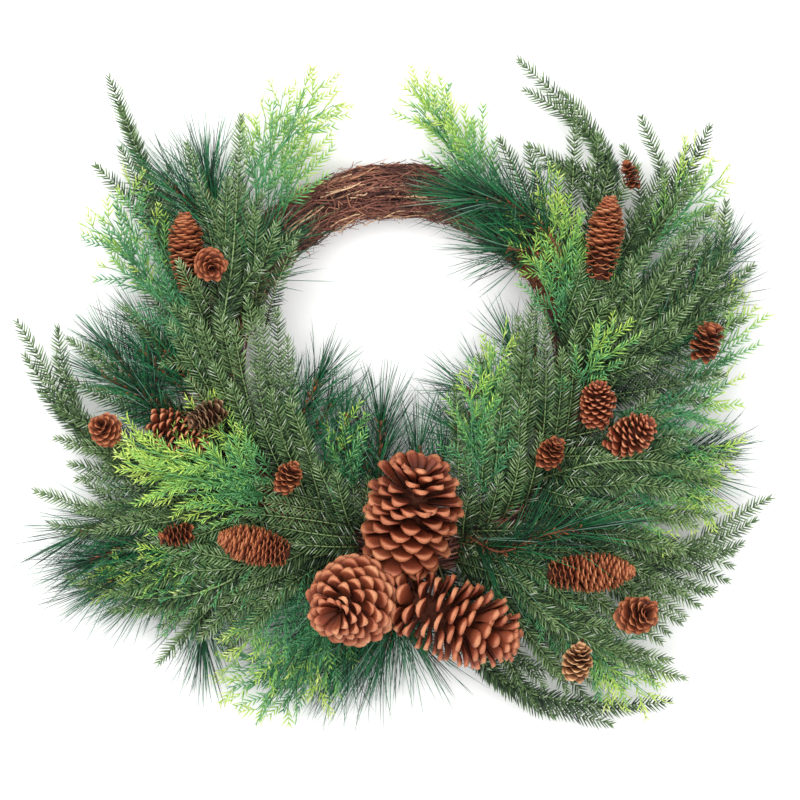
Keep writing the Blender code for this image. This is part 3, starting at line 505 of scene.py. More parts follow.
    "pine_bough_09": {"root": (-10.7, -7.6), "stem": [(-8, -4, 4.4), (-6.4, -0.8, 4)], "sparse": 1.2,
        "reach": 0.75, "fans": [((-9.8, -8.6), (-7.6, -10.6), 4.2, [(-8.6, -1.8), (-5.4, -2.6),
        (-4, -3.6)])]},
    "cedar_bough_07": {"root": (-14.2, 0.6), "stem": [(-18, 4.6, 5.2), (-20.9, 8.8, 4.8),
        (-23.2, 12.4, 4.2)], "twigs": [(0.5, (-21.2, 14.8)), (0.6, (-24.2, 11.2)), (0.45, (-22.8, 8))],
        "lime": (0.1, 1, 0.5), "fans": [((-14.8, 1.8), (-14.2, 0.6), 4.4, [(-19.6, 12), (-22, 10.2),
        (-20.2, 7.8)])]},
    "cedar_bough_08": {"root": (13.4, -4.2), "stem": [(19.4, -4, 5), (23.4, -3, 4.6),
        (25.8, -0.4, 4)], "twigs": [(0.22, (26, 6.6)), (0.14, (24.9, -8.4)), (0.1, (24.6, -11.4)),
        (0.32, (27, 4.8))], "lime": (0.1, 0.95, 0.45),
        "fans": [((14.4, -3.2), (13.6, -5.2), 4.4, [(24.8, -2.4), (25.8, -6.4), (23.4, -10.4)]),
        ((12.6, -8), (11.6, -9.2), 4.6, [(24.4, -9.4), (22.6, -11.4), (21, -13.2)])]},
    "spruce_bough_10": {"root": (14.6, -0.2), "stem": [(20.2, 2, 5.4), (24.6, 6.6, 5.2),
        (25.6, 13.2, 4.8)], "twigs": [(0.4, (27.7, 8.2)), (0.3, (24.2, 10.6)), (0.22, (26.9, 3.9)),
        (0.26, (22, 8.4))], "fans": [((14.2, 2.6), (15.4, -0.4), 5.6, [(24.4, 12.6), (23.6, 9.8),
        (26, 9), (24.8, 7), (26.8, 5.8), (24.6, 4.4)]),
        ((15, -0.4), (14.4, -2.4), 5, [(25.4, 2.4), (23.4, 1.2), (21.6, 2.6), (25.4, -0.4),
        (22.4, -1), (24.2, -2.4)])]},
    "cedar_bough_09": {"root": (12.9, 0.4), "stem": [(13.6, 6, 5.2), (12.9, 10.4, 5.6),
        (11.3, 14.9, 5.8)], "twigs": [(0.45, (9, 11.1)), (0.4, (10.1, 8.2)), (0.12, (17.8, 4.6))],
        "lime": (0.15, 0.78, 0.2), "fans": [((13.8, 1.4), (12.6, 2.2), 6.2, [(13.2, 12.2), (11.8, 12.8),
        (10, 10)]), ((13.8, -2), (13.2, -3), 6.8, [(16.8, 3.6), (15.4, 2.8)])]},
    "pine_bough_10": {"root": (12, 4.2), "stem": [(12.2, 9.4, 5), (9.2, 12.6, 5.2), (5.4, 13.5, 5.4)],
        "twigs": [(0.28, (8.4, 9.4))], "from": 0.5, "reach": 0.95,
        "fans": [((12.4, 4.8), (11.2, 6), 5, [(8, 12.6), (6.4, 12.2), (7.6, 10.2)])]},
    "cedar_bough_10": {"root": (6.9, -11), "stem": [(6.4, -6.8, 5.2), (7.2, -1.4, 5.6), (8.1, 2.6, 5.8)],
        "twigs": [(0.55, (6.6, 1.2))], "lime": (0.1, 0.8, 0.35),
        "fans": [((6.2, -11.8), (7.4, -11.2), 6.2, [(5.8, -0.6), (7.2, 0.6), (5.6, -3.8)])]},
    "cedar_bough_11": {"root": (-4.3, -11.8), "stem": [(-4.2, -8, 4.6), (-3.9, -3.8, 4.8)],
        "lime": (0.1, 0.7, 0.3), "fans": [((-4.4, -12), (-3.6, -12), 5, [(-4.9, -5.4)])]},
    # front layer
    "spruce_bough_11": {"root": (-13.4, -3.4), "stem": [(-13.9, 2.4, 5.4), (-13, 9.2, 6),
        (-12.4, 19.6, 6)], "twigs": [(0.24, (-16.6, 17.5)), (0.16, (-18, 5)), (0.12, (-18.6, 0.4)),
        (0.14, (-10.6, 4.8)), (0.3, (-10.8, 13.6)), (0.26, (-7.9, 10.6)), (0.4, (-15.7, 14.2))],
        "fans": [((-13.8, 4.2), (-10.8, 3.4), 6.4, [(-14.4, 13.2), (-13.4, 15), (-12.2, 14.4),
        (-11.2, 12.2), (-9.6, 11.4), (-8.2, 9.8)]), ((-15.2, 2.6), (-14.6, 4), 7.4, [(-17.2, 8.4),
        (-15.9, 7)]), ((-13.6, -4.6), (-7.6, -9.4), 6.6, [(-18, 3.6), (-16.8, 4.8), (-15.6, 3.8),
        (-14.2, 4.8), (-13, 3.6), (-11.9, 5.6), (-10.9, 4.4), (-9.6, 4.8), (-8.8, 2.4)]),
        ((-13, -5.6), (-6.2, -10.6), 7, [(-16.6, -0.6), (-14.6, 0.6), (-13.2, -1), (-11.4, 0.6),
        (-10, -1.8), (-8.6, -2.4)])]},
    "spruce_bough_12": {"root": (-6.4, -11), "stem": [(-7.7, -7.4, 5.2), (-9.2, -4, 5.4),
        (-10.6, -0.6, 5.4)], "twigs": [(0.15, (-4.9, -7.6)), (0.4, (-7.6, -3.6)), (0.25, (-12.2, -4))],
        "fans": [((-8.4, -10), (-3.8, -12.6), 6, [(-11, -3.6), (-9.4, -5), (-7.6, -5.2),
        (-6.6, -7.2), (-5, -8)]), ((-4.4, -12.2), (-2.8, -13), 5, [(-5.2, -6.4), (-3.8, -7.6),
        (-2.4, -8.4)])]},
    "spruce_bough_13": {"root": (-5.6, -13), "stem": [(-9.4, -15, 5.4), (-14.4, -14.5, 5.6),
        (-19.2, -13.3, 5)], "twigs": [(0.08, (-13.8, -9.6)), (0.2, (-13, -11.8)),
        (0.34, (-16.6, -15.7)), (0.18, (-12.4, -16.9))],
        "fans": [((-3.4, -11), (-3.2, -13.8), 5.8, [(-11.4, -8.8), (-10.4, -10.2), (-12.2, -11.2),
        (-10, -12.2), (-8.4, -13.6)]), ((-4.2, -13.4), (-5.6, -15.2), 5.2, [(-18.2, -15),
        (-15.6, -16.4), (-12.2, -16.2), (-13.8, -18), (-10.4, -17.8)])]},
    "spruce_bough_14": {"root": (8.6, -10.4), "stem": [(9, -6, 5.4), (9.3, -1.2, 5.8), (9.2, 4.2, 5.6)],
        "twigs": [(0.14, (6.2, 1)), (0.48, (10.8, 6.3)), (0.22, (14.2, 1.9)), (0.08, (4.6, -3.2)),
        (0.3, (11.6, -1))], "fans": [((4.4, -13), (8.4, -11.2), 6.4, [(4.3, -1.2), (5, -5.4),
        (6.9, -4), (8.4, 0.4), (9.8, 3.2)]), ((8.8, -11), (12.2, -7.8), 6.6, [(9.4, -2), (10.6, 0.6),
        (11.2, 3.8), (12.6, 1.4), (13.6, 3)]), ((4.8, -13.6), (9.8, -11), 6.2, [(5.6, -9),
        (7.8, -8.2), (9.4, -6), (11, -5.2)])]},
    "spruce_bough_15": {"root": (13.9, -3), "stem": [(16.6, -1.2, 6), (18.8, 4.2, 6.8),
        (22.1, 10.7, 7)], "twigs": [(0.2, (15, 8.8)), (0.4, (17.8, 8.6)), (0.3, (21.4, 3.4))],
        "fans": [((12.4, 2.4), (15.2, -0.6), 6.6, [(14.2, 8.2), (15.6, 7.4), (17, 10), (18.2, 7.8),
        (19.6, 9.8), (20.6, 7.2), (22.6, 8.2), (23, 5.6), (22.4, 3.2)]),
        ((12.6, 1.2), (14.8, -1), 6.9, [(14.2, 5.2), (16, 5.4), (17.6, 4.2), (19.4, 3.2),
        (19.8, 0.8)])]},
    "cedar_bough_12": {"root": (-8.6, -10.3), "stem": [(-12.8, -9.2, 6.2), (-17.2, -7.2, 6.6),
        (-21.8, -5.2, 6.2)], "twigs": [(0.22, (-15.4, -2.2)), (0.45, (-19.4, -8.4)), (0.15, (-12.2, -5.2))],
        "lime": (0.2, 0.85, 0.2), "fans": [((-9.2, -10.6), (-8.8, -9.6), 6.6, [(-15.8, -11),
        (-18.4, -9.8), (-20, -7.6), (-14.4, -4.2)]), ((-10.2, -9.6), (-9.6, -8.8), 8.7, [(-21.2, -7.2),
        (-20.4, -6), (-17, -6.2)])]},
    "spruce_bough_16": {"root": (9.9, -9), "stem": [(14.6, -7.4, 5.8), (19.4, -7.1, 6),
        (24, -8.2, 5.4)], "twigs": [(0.12, (20, -1.9)), (0.4, (22.4, -5.6)), (0.3, (21, -10)),
        (0.16, (18.2, -10.2))], "fans": [((12.4, -5.4), (10.2, -9.8), 6.2, [(21.2, -3.4), (23, -5),
        (20.6, -7.6), (22.2, -9.4), (19.2, -8.8), (18.6, -11)]),
        ((12, -6.8), (10.8, -9.4), 6.4, [(16.4, -6.8), (15.2, -8.6), (14.2, -10.2)]),
        ((12.6, -6.6), (11.4, -8.8), 4.6, [(26.4, -6.6), (25.2, -8.4), (24.6, -10.2)])]},
    "pine_bough_11": {"root": (4.6, -12.6), "stem": [(7.8, -14.2, 5.6), (11, -12.9, 6.2),
        (14.2, -12.3, 6.4)], "from": 0.12, "sparse": 1.7, "reach": 1.12},
}


def cadLift(name, plan):
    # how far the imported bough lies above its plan, read at its tip
    x, y, z = plan["stem"][-1]
    verts = np.array([v.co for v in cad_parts[name].data.vertices]) / cm - ringMiddle
    near = verts[np.argsort(np.hypot(verts[:, 0] - x, verts[:, 1] - y))[:4]]
    return near[:, 2].mean() - z


# what the roots are pushed into
ringSolid = {"radius": 14.1, "halfWidth": 2.2, "middle": 1.7, "halfHeight": 2.1}


def ringTop(x, y):
    # how high the twig bundle stands over a place in the plan
    aside = max(-0.95, min(0.95, (math.hypot(x, y) - ringSolid["radius"]) / ringSolid["halfWidth"]))
    return ringSolid["middle"] + math.sqrt(1 - aside ** 2) * ringSolid["halfHeight"]


pathStep = 0.3  # from point to point on a path
twigLook = {"bend": 0.45, "fall": 0.9, "fallEarly": 0.35, "arch": 0.1}
fanLook = {"rootScatter": 0.25, "rootDepth": 0.1, "tipScatter": (-0.6, 0.4), "bow": 0.09, "bend": 0.4,
           "arch": (0.2, 0.8)}


def boughPaths(name, plan, rng):
    # each path with its order: 0 the stem, 1 its side twigs, 2 the fans beside it
    lift = cadLift(name, plan)
    root = np.array([*plan["root"], ringTop(*plan["root"])])
    points = [root] + [np.array(p, float) + (0, 0, lift) for p in plan["stem"]]
    stem = smoothCurve(points, pathStep)
    paths = [(stem, 0)]
    for far, tip in plan.get("twigs", []):
        i = min(int(far * (len(stem) - 1)), len(stem) - 2)
        start = stem[i]
        ahead = unit(stem[i + 1] - stem[i])
        fall = (stem[-1][2] - start[2]) * twigLook["fall"] - twigLook["arch"]
        end = np.array([tip[0], tip[1], start[2] + fall])
        middle = start + ahead * np.linalg.norm(end - start) * twigLook["bend"]
        middle[2] = start[2] + fall * twigLook["fallEarly"] + twigLook["arch"]
        paths.append((bendCurve(start, middle, end, pathStep), 1))
    for here, there, level, tips in plan.get("fans", []):
        for i, tip in enumerate(tips):
            t = i / max(1, len(tips) - 1)
            scatter = rng.uniform(-fanLook["rootScatter"], fanLook["rootScatter"], 2)
            x, y = np.array(here) * (1 - t) + np.array(there) * t + scatter
            start = np.array([x, y, ringTop(x, y) - fanLook["rootDepth"]])
            end = np.array([*tip, level + rng.uniform(*fanLook["tipScatter"])])
            away = end - start
            bow = np.array([-away[1], away[0], 0.0]) * rng.uniform(-fanLook["bow"], fanLook["bow"])
            middle = start + away * fanLook["bend"] + bow
            middle[2] = level + rng.uniform(*fanLook["arch"])
            paths.append((bendCurve(start, middle, end, pathStep), 2))
    return paths


# each row: its turn about the twig, how many steps from needle to needle, and how long they are
spruceLook = {"needle": 1.24, "thick": 0.14, "spacing": 0.285, "spread": 47, "stem": 0.10, "paintedGlints": 0.07,
              "rows": [(-86, 1, 1.0), (86, 1, 1.0), (-42, 2, 0.65), (42, 2, 0.65)],
              # lighter towards the tips: partly their own paler green, partly painted shade on the inner part
              "tipRun": 1.6, "tipSpread": 0.45, "tipLength": 0.58, "tipTintAndPaintedLight": 0.44,
              # lower needles are darker: painted shade, as under the others
              "shadePerHeight": 0.03, "height": 3.2, "heightShade": 0.13, "heightShadeLimits": (0.10, 0.25),
              # the pale needles' share, tint and thickness are for painted glints
              "tintScatter": 0.17, "darkest": 0.02, "lightest": 0.9, "paintedGlintTint": 0.98, "paintedGlintThick": 0.55,
              "rowScatter": 4, "leanScatter": 3, "slip": 0.02, "lengthScatter": (0.9, 1.08),
              "shorter": 0.25, "thinner": 0.35, "bare": (0.12, 0.03)}


def spruceNeedles(path, rng, look, shade, bare):
    places, headings, tints, facings, sizes = [], [], [], [], []
    total = pathLength(path)
    for row, step, share in look["rows"]:
        place, ahead, far = (a[::step] for a in along(path, look["spacing"], bare * total))
        n = len(place)
        if not n:
            continue
        place = place + ahead * rng.uniform(-look["slip"], look["slip"], (n, 1))
        outward, above = acrossPath(ahead, np.radians(row + rng.normal(0, look["rowScatter"], n))[:, None])
        toTip = np.clip((total - far * total) / look["tipRun"], 0, 1)
        spread = look["spread"] * (look["tipSpread"] + (1 - look["tipSpread"]) * toTip)
        lean = np.radians(spread + rng.normal(0, look["leanScatter"], n))[:, None]
        headings.append(np.cos(lean) * ahead + np.sin(lean) * outward)
        facings.append(above)
        places.append(place)
        length = look["needle"] * share * (look["tipLength"] + (1 - look["tipLength"]) * toTip)
        length = length * (1.05 - look["shorter"] * far) * rng.uniform(*look["lengthScatter"], n)
        # painted shade: the lower a needle lies, under the others, the darker it is
        deep = look["shadePerHeight"] * (place[:, 2] - look["height"]) + look["heightShade"]  # lower is darker
        tint = rng.normal(shade, look["tintScatter"], n) + np.clip(deep, *look["heightShadeLimits"])
        # lighter towards the tip: partly the tips' own paler green, partly painted shade on the inner part
        # under other twigs
        tint = np.clip(tint + look["tipTintAndPaintedLight"] * far ** 1.4, look["darkest"], look["lightest"])
        # some needles are painted glints: near-white and thinner
        paintedGlints = rng.random(n) < look["paintedGlints"]
        tints.append(np.where(paintedGlints, look["paintedGlintTint"], tint))
        thick = look["thick"] * np.where(paintedGlints, look["paintedGlintThick"], 1.0) * (1.1 - look["thinner"] * far)
        sizes.append(np.stack([thick, thick, length], 1))
    return stamp(spruceUnit, np.vstack(places), np.vstack(headings), np.vstack(facings), np.vstack(sizes),
                 np.concatenate(tints))


pineLook = {"needle": 6.8, "thick": 0.065, "spacing": 0.032, "stem": 0.11, "from": 0.30, "tint": 0.66,
            # a few needles are painted glints, pale and near-white
            "lean": (16, 30), "flat": 0.62, "dark": 0.30, "paintedGlints": 0.04, "bend": 0.35, "sag": 0.25,
            "leanScatter": 11, "lengthScatter": (0.62, 1.05), "darkTints": (0.0, 0.22), "tintScatter": 0.16,
            "lightest": 0.93, "paintedGlintTint": 0.98, "bractSpacing": 0.14, "bractTurn": 2.4, "bractLean": (38, 75),
            "bractWidth": (0.16, 0.26), "bractLength": (0.4, 0.7), "bractTints": (0.1, 0.95)}


def pineNeedles(path, rng, look, reach, bare, sparse):
    total = pathLength(path)
    place, ahead, far = along(path, look["spacing"] * sparse, bare * total)
    n = len(place)
    outward = acrossPath(ahead, rng.uniform(0, 2 * math.pi, n)[:, None], look["flat"])[0]
    toTip = np.clip((1 - far)[:, None] * 2.2, 0, 1)
    lean = np.radians(look["lean"][0] + look["lean"][1] * toTip + rng.normal(0, look["leanScatter"], (n, 1)))
    heading = unit(np.cos(lean) * ahead + np.sin(lean) * outward)
    length = look["needle"] * reach * rng.uniform(*look["lengthScatter"], n)
    dark = rng.random(n) < look["dark"]
    darkTint, plainTint = rng.uniform(*look["darkTints"], n), rng.normal(look["tint"], look["tintScatter"], n)
    tint = np.where(dark, darkTint, plainTint)
    # a few needles are painted glints, in a pale near-white tint
    tint = np.where(rng.random(n) < look["paintedGlints"], look["paintedGlintTint"], np.clip(tint, 0, look["lightest"]))
    sizes = np.stack([np.full(n, look["thick"]), np.full(n, look["thick"]), length], 1)
    bend = rng.normal(0, look["bend"], (n, 3)) * (1, 1, 0.5) - (0, 0, look["sag"])
    return stamp(pineUnit, place, heading, outward, sizes, tint, bend)


def pineBracts(path, rng, look):
    place, ahead = along(path, look["bractSpacing"], 0.5)[:2]
    n = len(place)
    turn = np.arange(n) * look["bractTurn"] + rng.uniform(0, 0.6, n)
    outward = acrossPath(ahead, turn[:, None])[0]
    lean = np.radians(rng.uniform(*look["bractLean"], n))[:, None]
    heading = np.cos(lean) * ahead + np.sin(lean) * outward
    width, long = rng.uniform(*look["bractWidth"], n), rng.uniform(*look["bractLength"], n)
    sizes = np.stack([width, np.full(n, 0.2), long], 1)
    tint = rng.uniform(*look["bractTints"], n)
    return stamp(bractUnit, place + outward * 0.12, heading, outward, sizes, tint, part=2)


cedarLook = {"leaf": 0.92, "thick": 0.12, "frond": 3.3, "frondSpacing": 0.95, "leafSpacing": 0.40,
             "stem": 0.085, "frondTurn": 33, "leafTurn": 35, "flatTurn": 82, "topTurn": 25, "tipRun": 4.0,
             "turnScatter": 14, "leanScatter": 5, "frondScatter": (0.75, 1.15), "frondThick": (0.05, 0.025),
             "frondTint": 0.04, "curl": 0.2, "curlScatter": 0.12, "leafScatter": (0.6, 1.3),
             "sideScatter": 0.42, "leafTint": 0.09, "bare": 0.12, "lime": (0.15, 0.9, 0.5)}


def cedarFronds(path, rng, look, lime, bare):
    parts = []
    total = pathLength(path)
    place, ahead, far = along(path, look["frondSpacing"], bare * total)
    leafAt, leafOn, leafSide, leafTint, leafLong = [], [], [], [], []
    for i in range(len(place)):  # left and right in turn, and every fourth stands up
        hand = 1 if i % 2 else -1
        side = unit(np.cross(ahead[i], up))
        turn = math.radians(rng.normal(0, look["turnScatter"]) + look["flatTurn" if i % 4 else "topTurn"])
        outward = unit(hand * math.sin(turn) * side + math.cos(turn) * np.cross(side, ahead[i]) * 0.8)
        toTip = min(1, (1 - far[i]) * total / look["tipRun"])
        long = look["frond"] * (0.35 + 0.65 * toTip) * rng.uniform(*look["frondScatter"])
        lean = math.radians(look["frondTurn"] + rng.normal(0, look["leanScatter"]))
        heading = unit(ahead[i] * math.cos(lean) + outward * math.sin(lean))
        steps = np.linspace(0, 1, 5)[:, None]
        curl = ahead[i] * look["curl"] + outward * rng.normal(0, look["curlScatter"])
        twig = place[i] + heading * long * steps + curl * long * steps ** 2
        tint = lime(far[i], 0.3) + rng.normal(0, look["frondTint"])
        parts.append(rod(twig, look["frondThick"], 3, min(0.99, max(0, tint))))
        spots, facing, share = along(twig, look["leafSpacing"], 0.0)
        for k in range(len(spots)):
            for leafHand in (-1, 1):
                leafAt.append(spots[k])
                leafOn.append(facing[k])
                across = unit(np.cross(facing[k], unit(np.cross(outward, ahead[i]) + up * 0.4)))
                leafSide.append(unit(across * leafHand + rng.normal(0, look["sideScatter"], 3)))
                leafTint.append(lime(far[i], share[k]) + rng.normal(0, look["leafTint"]))
                leafLong.append(look["leaf"] * (1.25 - 0.55 * share[k]) * rng.uniform(*look["leafScatter"]))
    n = len(leafAt)
    on, side = np.array(leafOn), np.array(leafSide)
    lean = math.radians(look["leafTurn"])
    heading = unit(on * math.cos(lean) + side * math.sin(lean))
    sizes = np.stack([np.full(n, look["thick"]), np.full(n, look["thick"]), np.array(leafLong)], 1)
    parts.append(stamp(leafUnit, np.array(leafAt), heading, np.cross(on, side), sizes,
                       np.clip(np.array(leafTint), 0, 0.99)))
    return parts


def spruceBough(name, plan, rng):
    parts = []
    shade = rng.uniform(0.05, 0.15)
    for path, order in boughPaths(name, plan, rng):
        thick = spruceLook["stem"] * (1.0, 0.8, 0.7)[order]
        parts.append(rod(path, (thick, thick * 0.8, 0.035), 5, rng.uniform(0.2, 0.8), part=1))
        bare = spruceLook["bare"][min(order, 1)]
        parts.append(spruceNeedles(path, rng, spruceLook, rng.normal(shade, 0.05), bare))
    return makePiece(name.replace("bough", "sprig"), parts, [spruceNeedle, spruceTwig])


def pineBough(name, plan, rng):
    parts = []
    for path, order in boughPaths(name, plan, rng):
        thick = pineLook["stem"] * (1.0, 0.8, 0.6)[order]
        parts.append(rod(path, (thick, thick * 0.9, 0.12), 6, rng.uniform(0.2, 0.8), part=1))
        sparse = plan.get("sparse", 1.0) * (1.0, 1.2, 1.6)[order]
        bare = plan.get("from", pineLook["from"])
        parts.append(pineNeedles(path, rng, pineLook, plan.get("reach", 1.0), bare, sparse))
        parts.append(pineBracts(path, rng, pineLook))
    return makePiece(name.replace("bough", "sprig"), parts, [pineNeedle, pineTwig, pineBract])


def cedarBough(name, plan, rng):
    parts = []
    low, high, start = plan.get("lime", cedarLook["lime"])

    def lime(far, share):
        return low + (high - low) * min(1.0, max(0.0, (far * 0.8 + share * 0.2 - start) / (0.95 - start)))

    for path, order in boughPaths(name, plan, rng):
        thick = cedarLook["stem"] * (1.0, 0.8, 0.7)[order]
        parts.append(rod(path, (thick, thick * 0.8, 0.03), 4, low))
        parts += cedarFronds(path, rng, cedarLook, lime, plan.get("from", cedarLook["bare"]))
    return makePiece(name.replace("bough", "sprig"), parts, [cedarLeaf])


makers = {"spruce": spruceBough, "pine": pineBough, "cedar": cedarBough}
boughSeed, coneSeed, ringSeed = 100, 300, 7
for i, (name, plan) in enumerate(boughs.items()):
    kind = name.split("_")[0]
    piece = makers[kind](name, plan, np.random.default_rng(boughSeed + i))
    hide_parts(name)
print("boughs laid")


# heading and tilt, in degrees, say where a cone's tip points, and tint is its scales' range. at stands it on
# a wire there, and shift moves it off its solid's middle. Any value of coneLooks may be given here as well
cones = {
    "spruce_cone_1": {"heading": 166, "tilt": 4, "length": 6.2, "width": 3.2, "tint": (0.25, 0.7)},
    "spruce_cone_2": {"heading": 92, "tilt": 6, "length": 7.0, "width": 2.9, "tint": (0.3, 0.75),
                      "scales": 150, "wide": 0.34, "swell": (0.06, 0.84)},
    "spruce_cone_3": {"heading": 82, "tilt": 8, "length": 7.4, "width": 3.0, "tint": (0.3, 0.8),
                      "scales": 150, "wide": 0.34},
    "spruce_cone_4": {"heading": 2, "tilt": 4, "length": 7.6, "width": 3.3, "tint": (0.3, 0.8)},
    "pine_cone_1": {"heading": 78, "tilt": 28, "length": 8.4, "width": 7.8, "tint": (0.1, 0.8),
                    "lean": (122, 88, 66, 34), "swell": (0.2, 0.8), "shift": (0, 0.35, 0), "scales": 112},
    "pine_cone_2": {"heading": 212, "tilt": 58, "length": 5.9, "width": 7.4, "tint": (0.3, 0.9),
                    "scales": 116, "lean": (112, 84, 60, 24), "core": 0.36, "shift": (0.15, 0.1, 0)},
    "pine_cone_3": {"heading": 339, "tilt": 8, "length": 10.0, "width": 6.8, "tint": (0.2, 0.8),
                    "lean": (132, 66, 42, 14), "core": 0.32, "scales": 120, "shift": (-0.1, 0.2, 0),
                    "wide": 0.20, "swell": (0.18, 0.96)},
    "pine_cone_4": {"heading": 332, "tilt": 10, "length": 4.8, "width": 3.4, "tint": (0.4, 0.9)},
    "pine_cone_5": {"heading": 85, "tilt": 35, "length": 3.6, "width": 2.9, "tint": (0.2, 0.7)},
    "pine_cone_6": {"heading": 35, "tilt": 30, "length": 3.9, "width": 3.2, "tint": (0.2, 0.8)},
    "larch_cone_1": {"heading": 300, "tilt": 68, "length": 2.6, "width": 2.6, "tint": (0.25, 0.65)},
    "larch_cone_2": {"heading": 120, "tilt": 66, "length": 2.5, "width": 2.6, "tint": (0.25, 0.65)},
    "larch_cone_3": {"heading": 205, "tilt": 20, "length": 2.8, "width": 2.3, "tint": (0.3, 0.8),
                     "skin": greyScale},
    "larch_cone_4": {"heading": 60, "tilt": 30, "length": 2.4, "width": 2.1, "tint": (0.3, 0.8),
                     "at": (-8.7, -8.4, 7.3)},
    "larch_cone_5": {"heading": 190, "tilt": 12, "length": 2.5, "width": 2.0, "tint": (0.1, 0.5)},
    "larch_cone_6": {"heading": 70, "tilt": 20, "length": 2.7, "width": 2.5, "tint": (0.2, 0.6),
                     "at": (23.8, 2.1, 7.0)},
    "larch_cone_7": {"heading": 60, "tilt": 35, "length": 2.4, "width": 2.2, "tint": (0.2, 0.6),
                     "at": (11.7, -6.5, 7.3)},
    "larch_cone_8": {"heading": 15, "tilt": 55, "length": 2.8, "width": 3.1, "tint": (0.2, 0.7),
                     "at": (18.4, -19.1, 6.8)},
    "larch_cone_9": {"heading": 80, "tilt": 30, "length": 2.5, "width": 2.5, "tint": (0.4, 1.0),
                     "skin": paleScale, "at": (13.8, -22.8, 6.35)},
    "larch_cone_10": {"heading": 110, "tilt": 10, "length": 2.2, "width": 1.5, "tint": (0.2, 0.6),
                      "at": (18.0, 15.2, 5.8)},
}

pineScale = scaleShape("pineScale", ([0, 0.45, 0.75, 0.9, 1.0], [0.40, 0.62, 1.0, 1.12, 1.02]),
                       ([0, 0.6, 0.82, 0.94, 1.0], [0.07, 0.09, 0.16, 0.26, 0.24]), 0.16, (4, 5))
thinScale = scaleShape("thinScale", ([0, 0.35, 0.75, 1.0], [0.45, 0.85, 1.05, 0.80]),
                       ([0, 0.8, 1.0], [0.07, 0.05, 0.03]), 0.20, (3, 4))

# lean: how far the scales lean from the axis, from the stalk to the tip. long, wide, core: scale length and
# width, and core width, against the cone's width. ragged: the leans' scatter. taper: scale width from the
# stalk to the tip. swell: which part of a half turn's bulge the outline follows
coneLooks = {
    "pine": {"scales": 100, "lean": (122, 84, 56, 24), "long": 0.40, "wide": 0.185, "shape": pineScale,
             "core": 0.28, "ragged": 5, "taper": [1.35, 1.1, 1.0, 0.75], "swell": (0.14, 0.92)},
    "spruce": {"scales": 240, "lean": (84, 56, 46, 16), "long": 0.32, "wide": 0.27, "shape": thinScale,
               "core": 0.46, "ragged": 5, "taper": [1, 1, 1, 0.9], "swell": (0.14, 0.92)},
    "larch": {"scales": 54, "lean": (122, 86, 56, 16), "long": 0.48, "wide": 0.38, "shape": thinScale,
              "core": 0.28, "ragged": 9, "taper": [1, 1, 1, 0.85], "swell": (0.14, 0.92)},
}
coneShape = {
    "packing": 0.8,  # below 1, the scales crowd towards the tip
    "fullness": 0.6,  # lower is blunter at both ends
    "scaleLimits": (0.5, 1.15), "scaleScatter": (0.93, 1.07), "tipScales": 0.62,
    "rows": 0.80, "back": 0.03, "sunk": 0.85,  # how much of the length bears scales, and how they are rooted
    "coreLength": 0.82, "coreWidth": 1.1, "coreRings": 14, "coreSides": 10, "coreTint": 0.4,
    "wire": 0.1, "wireTint": 0.9,
}


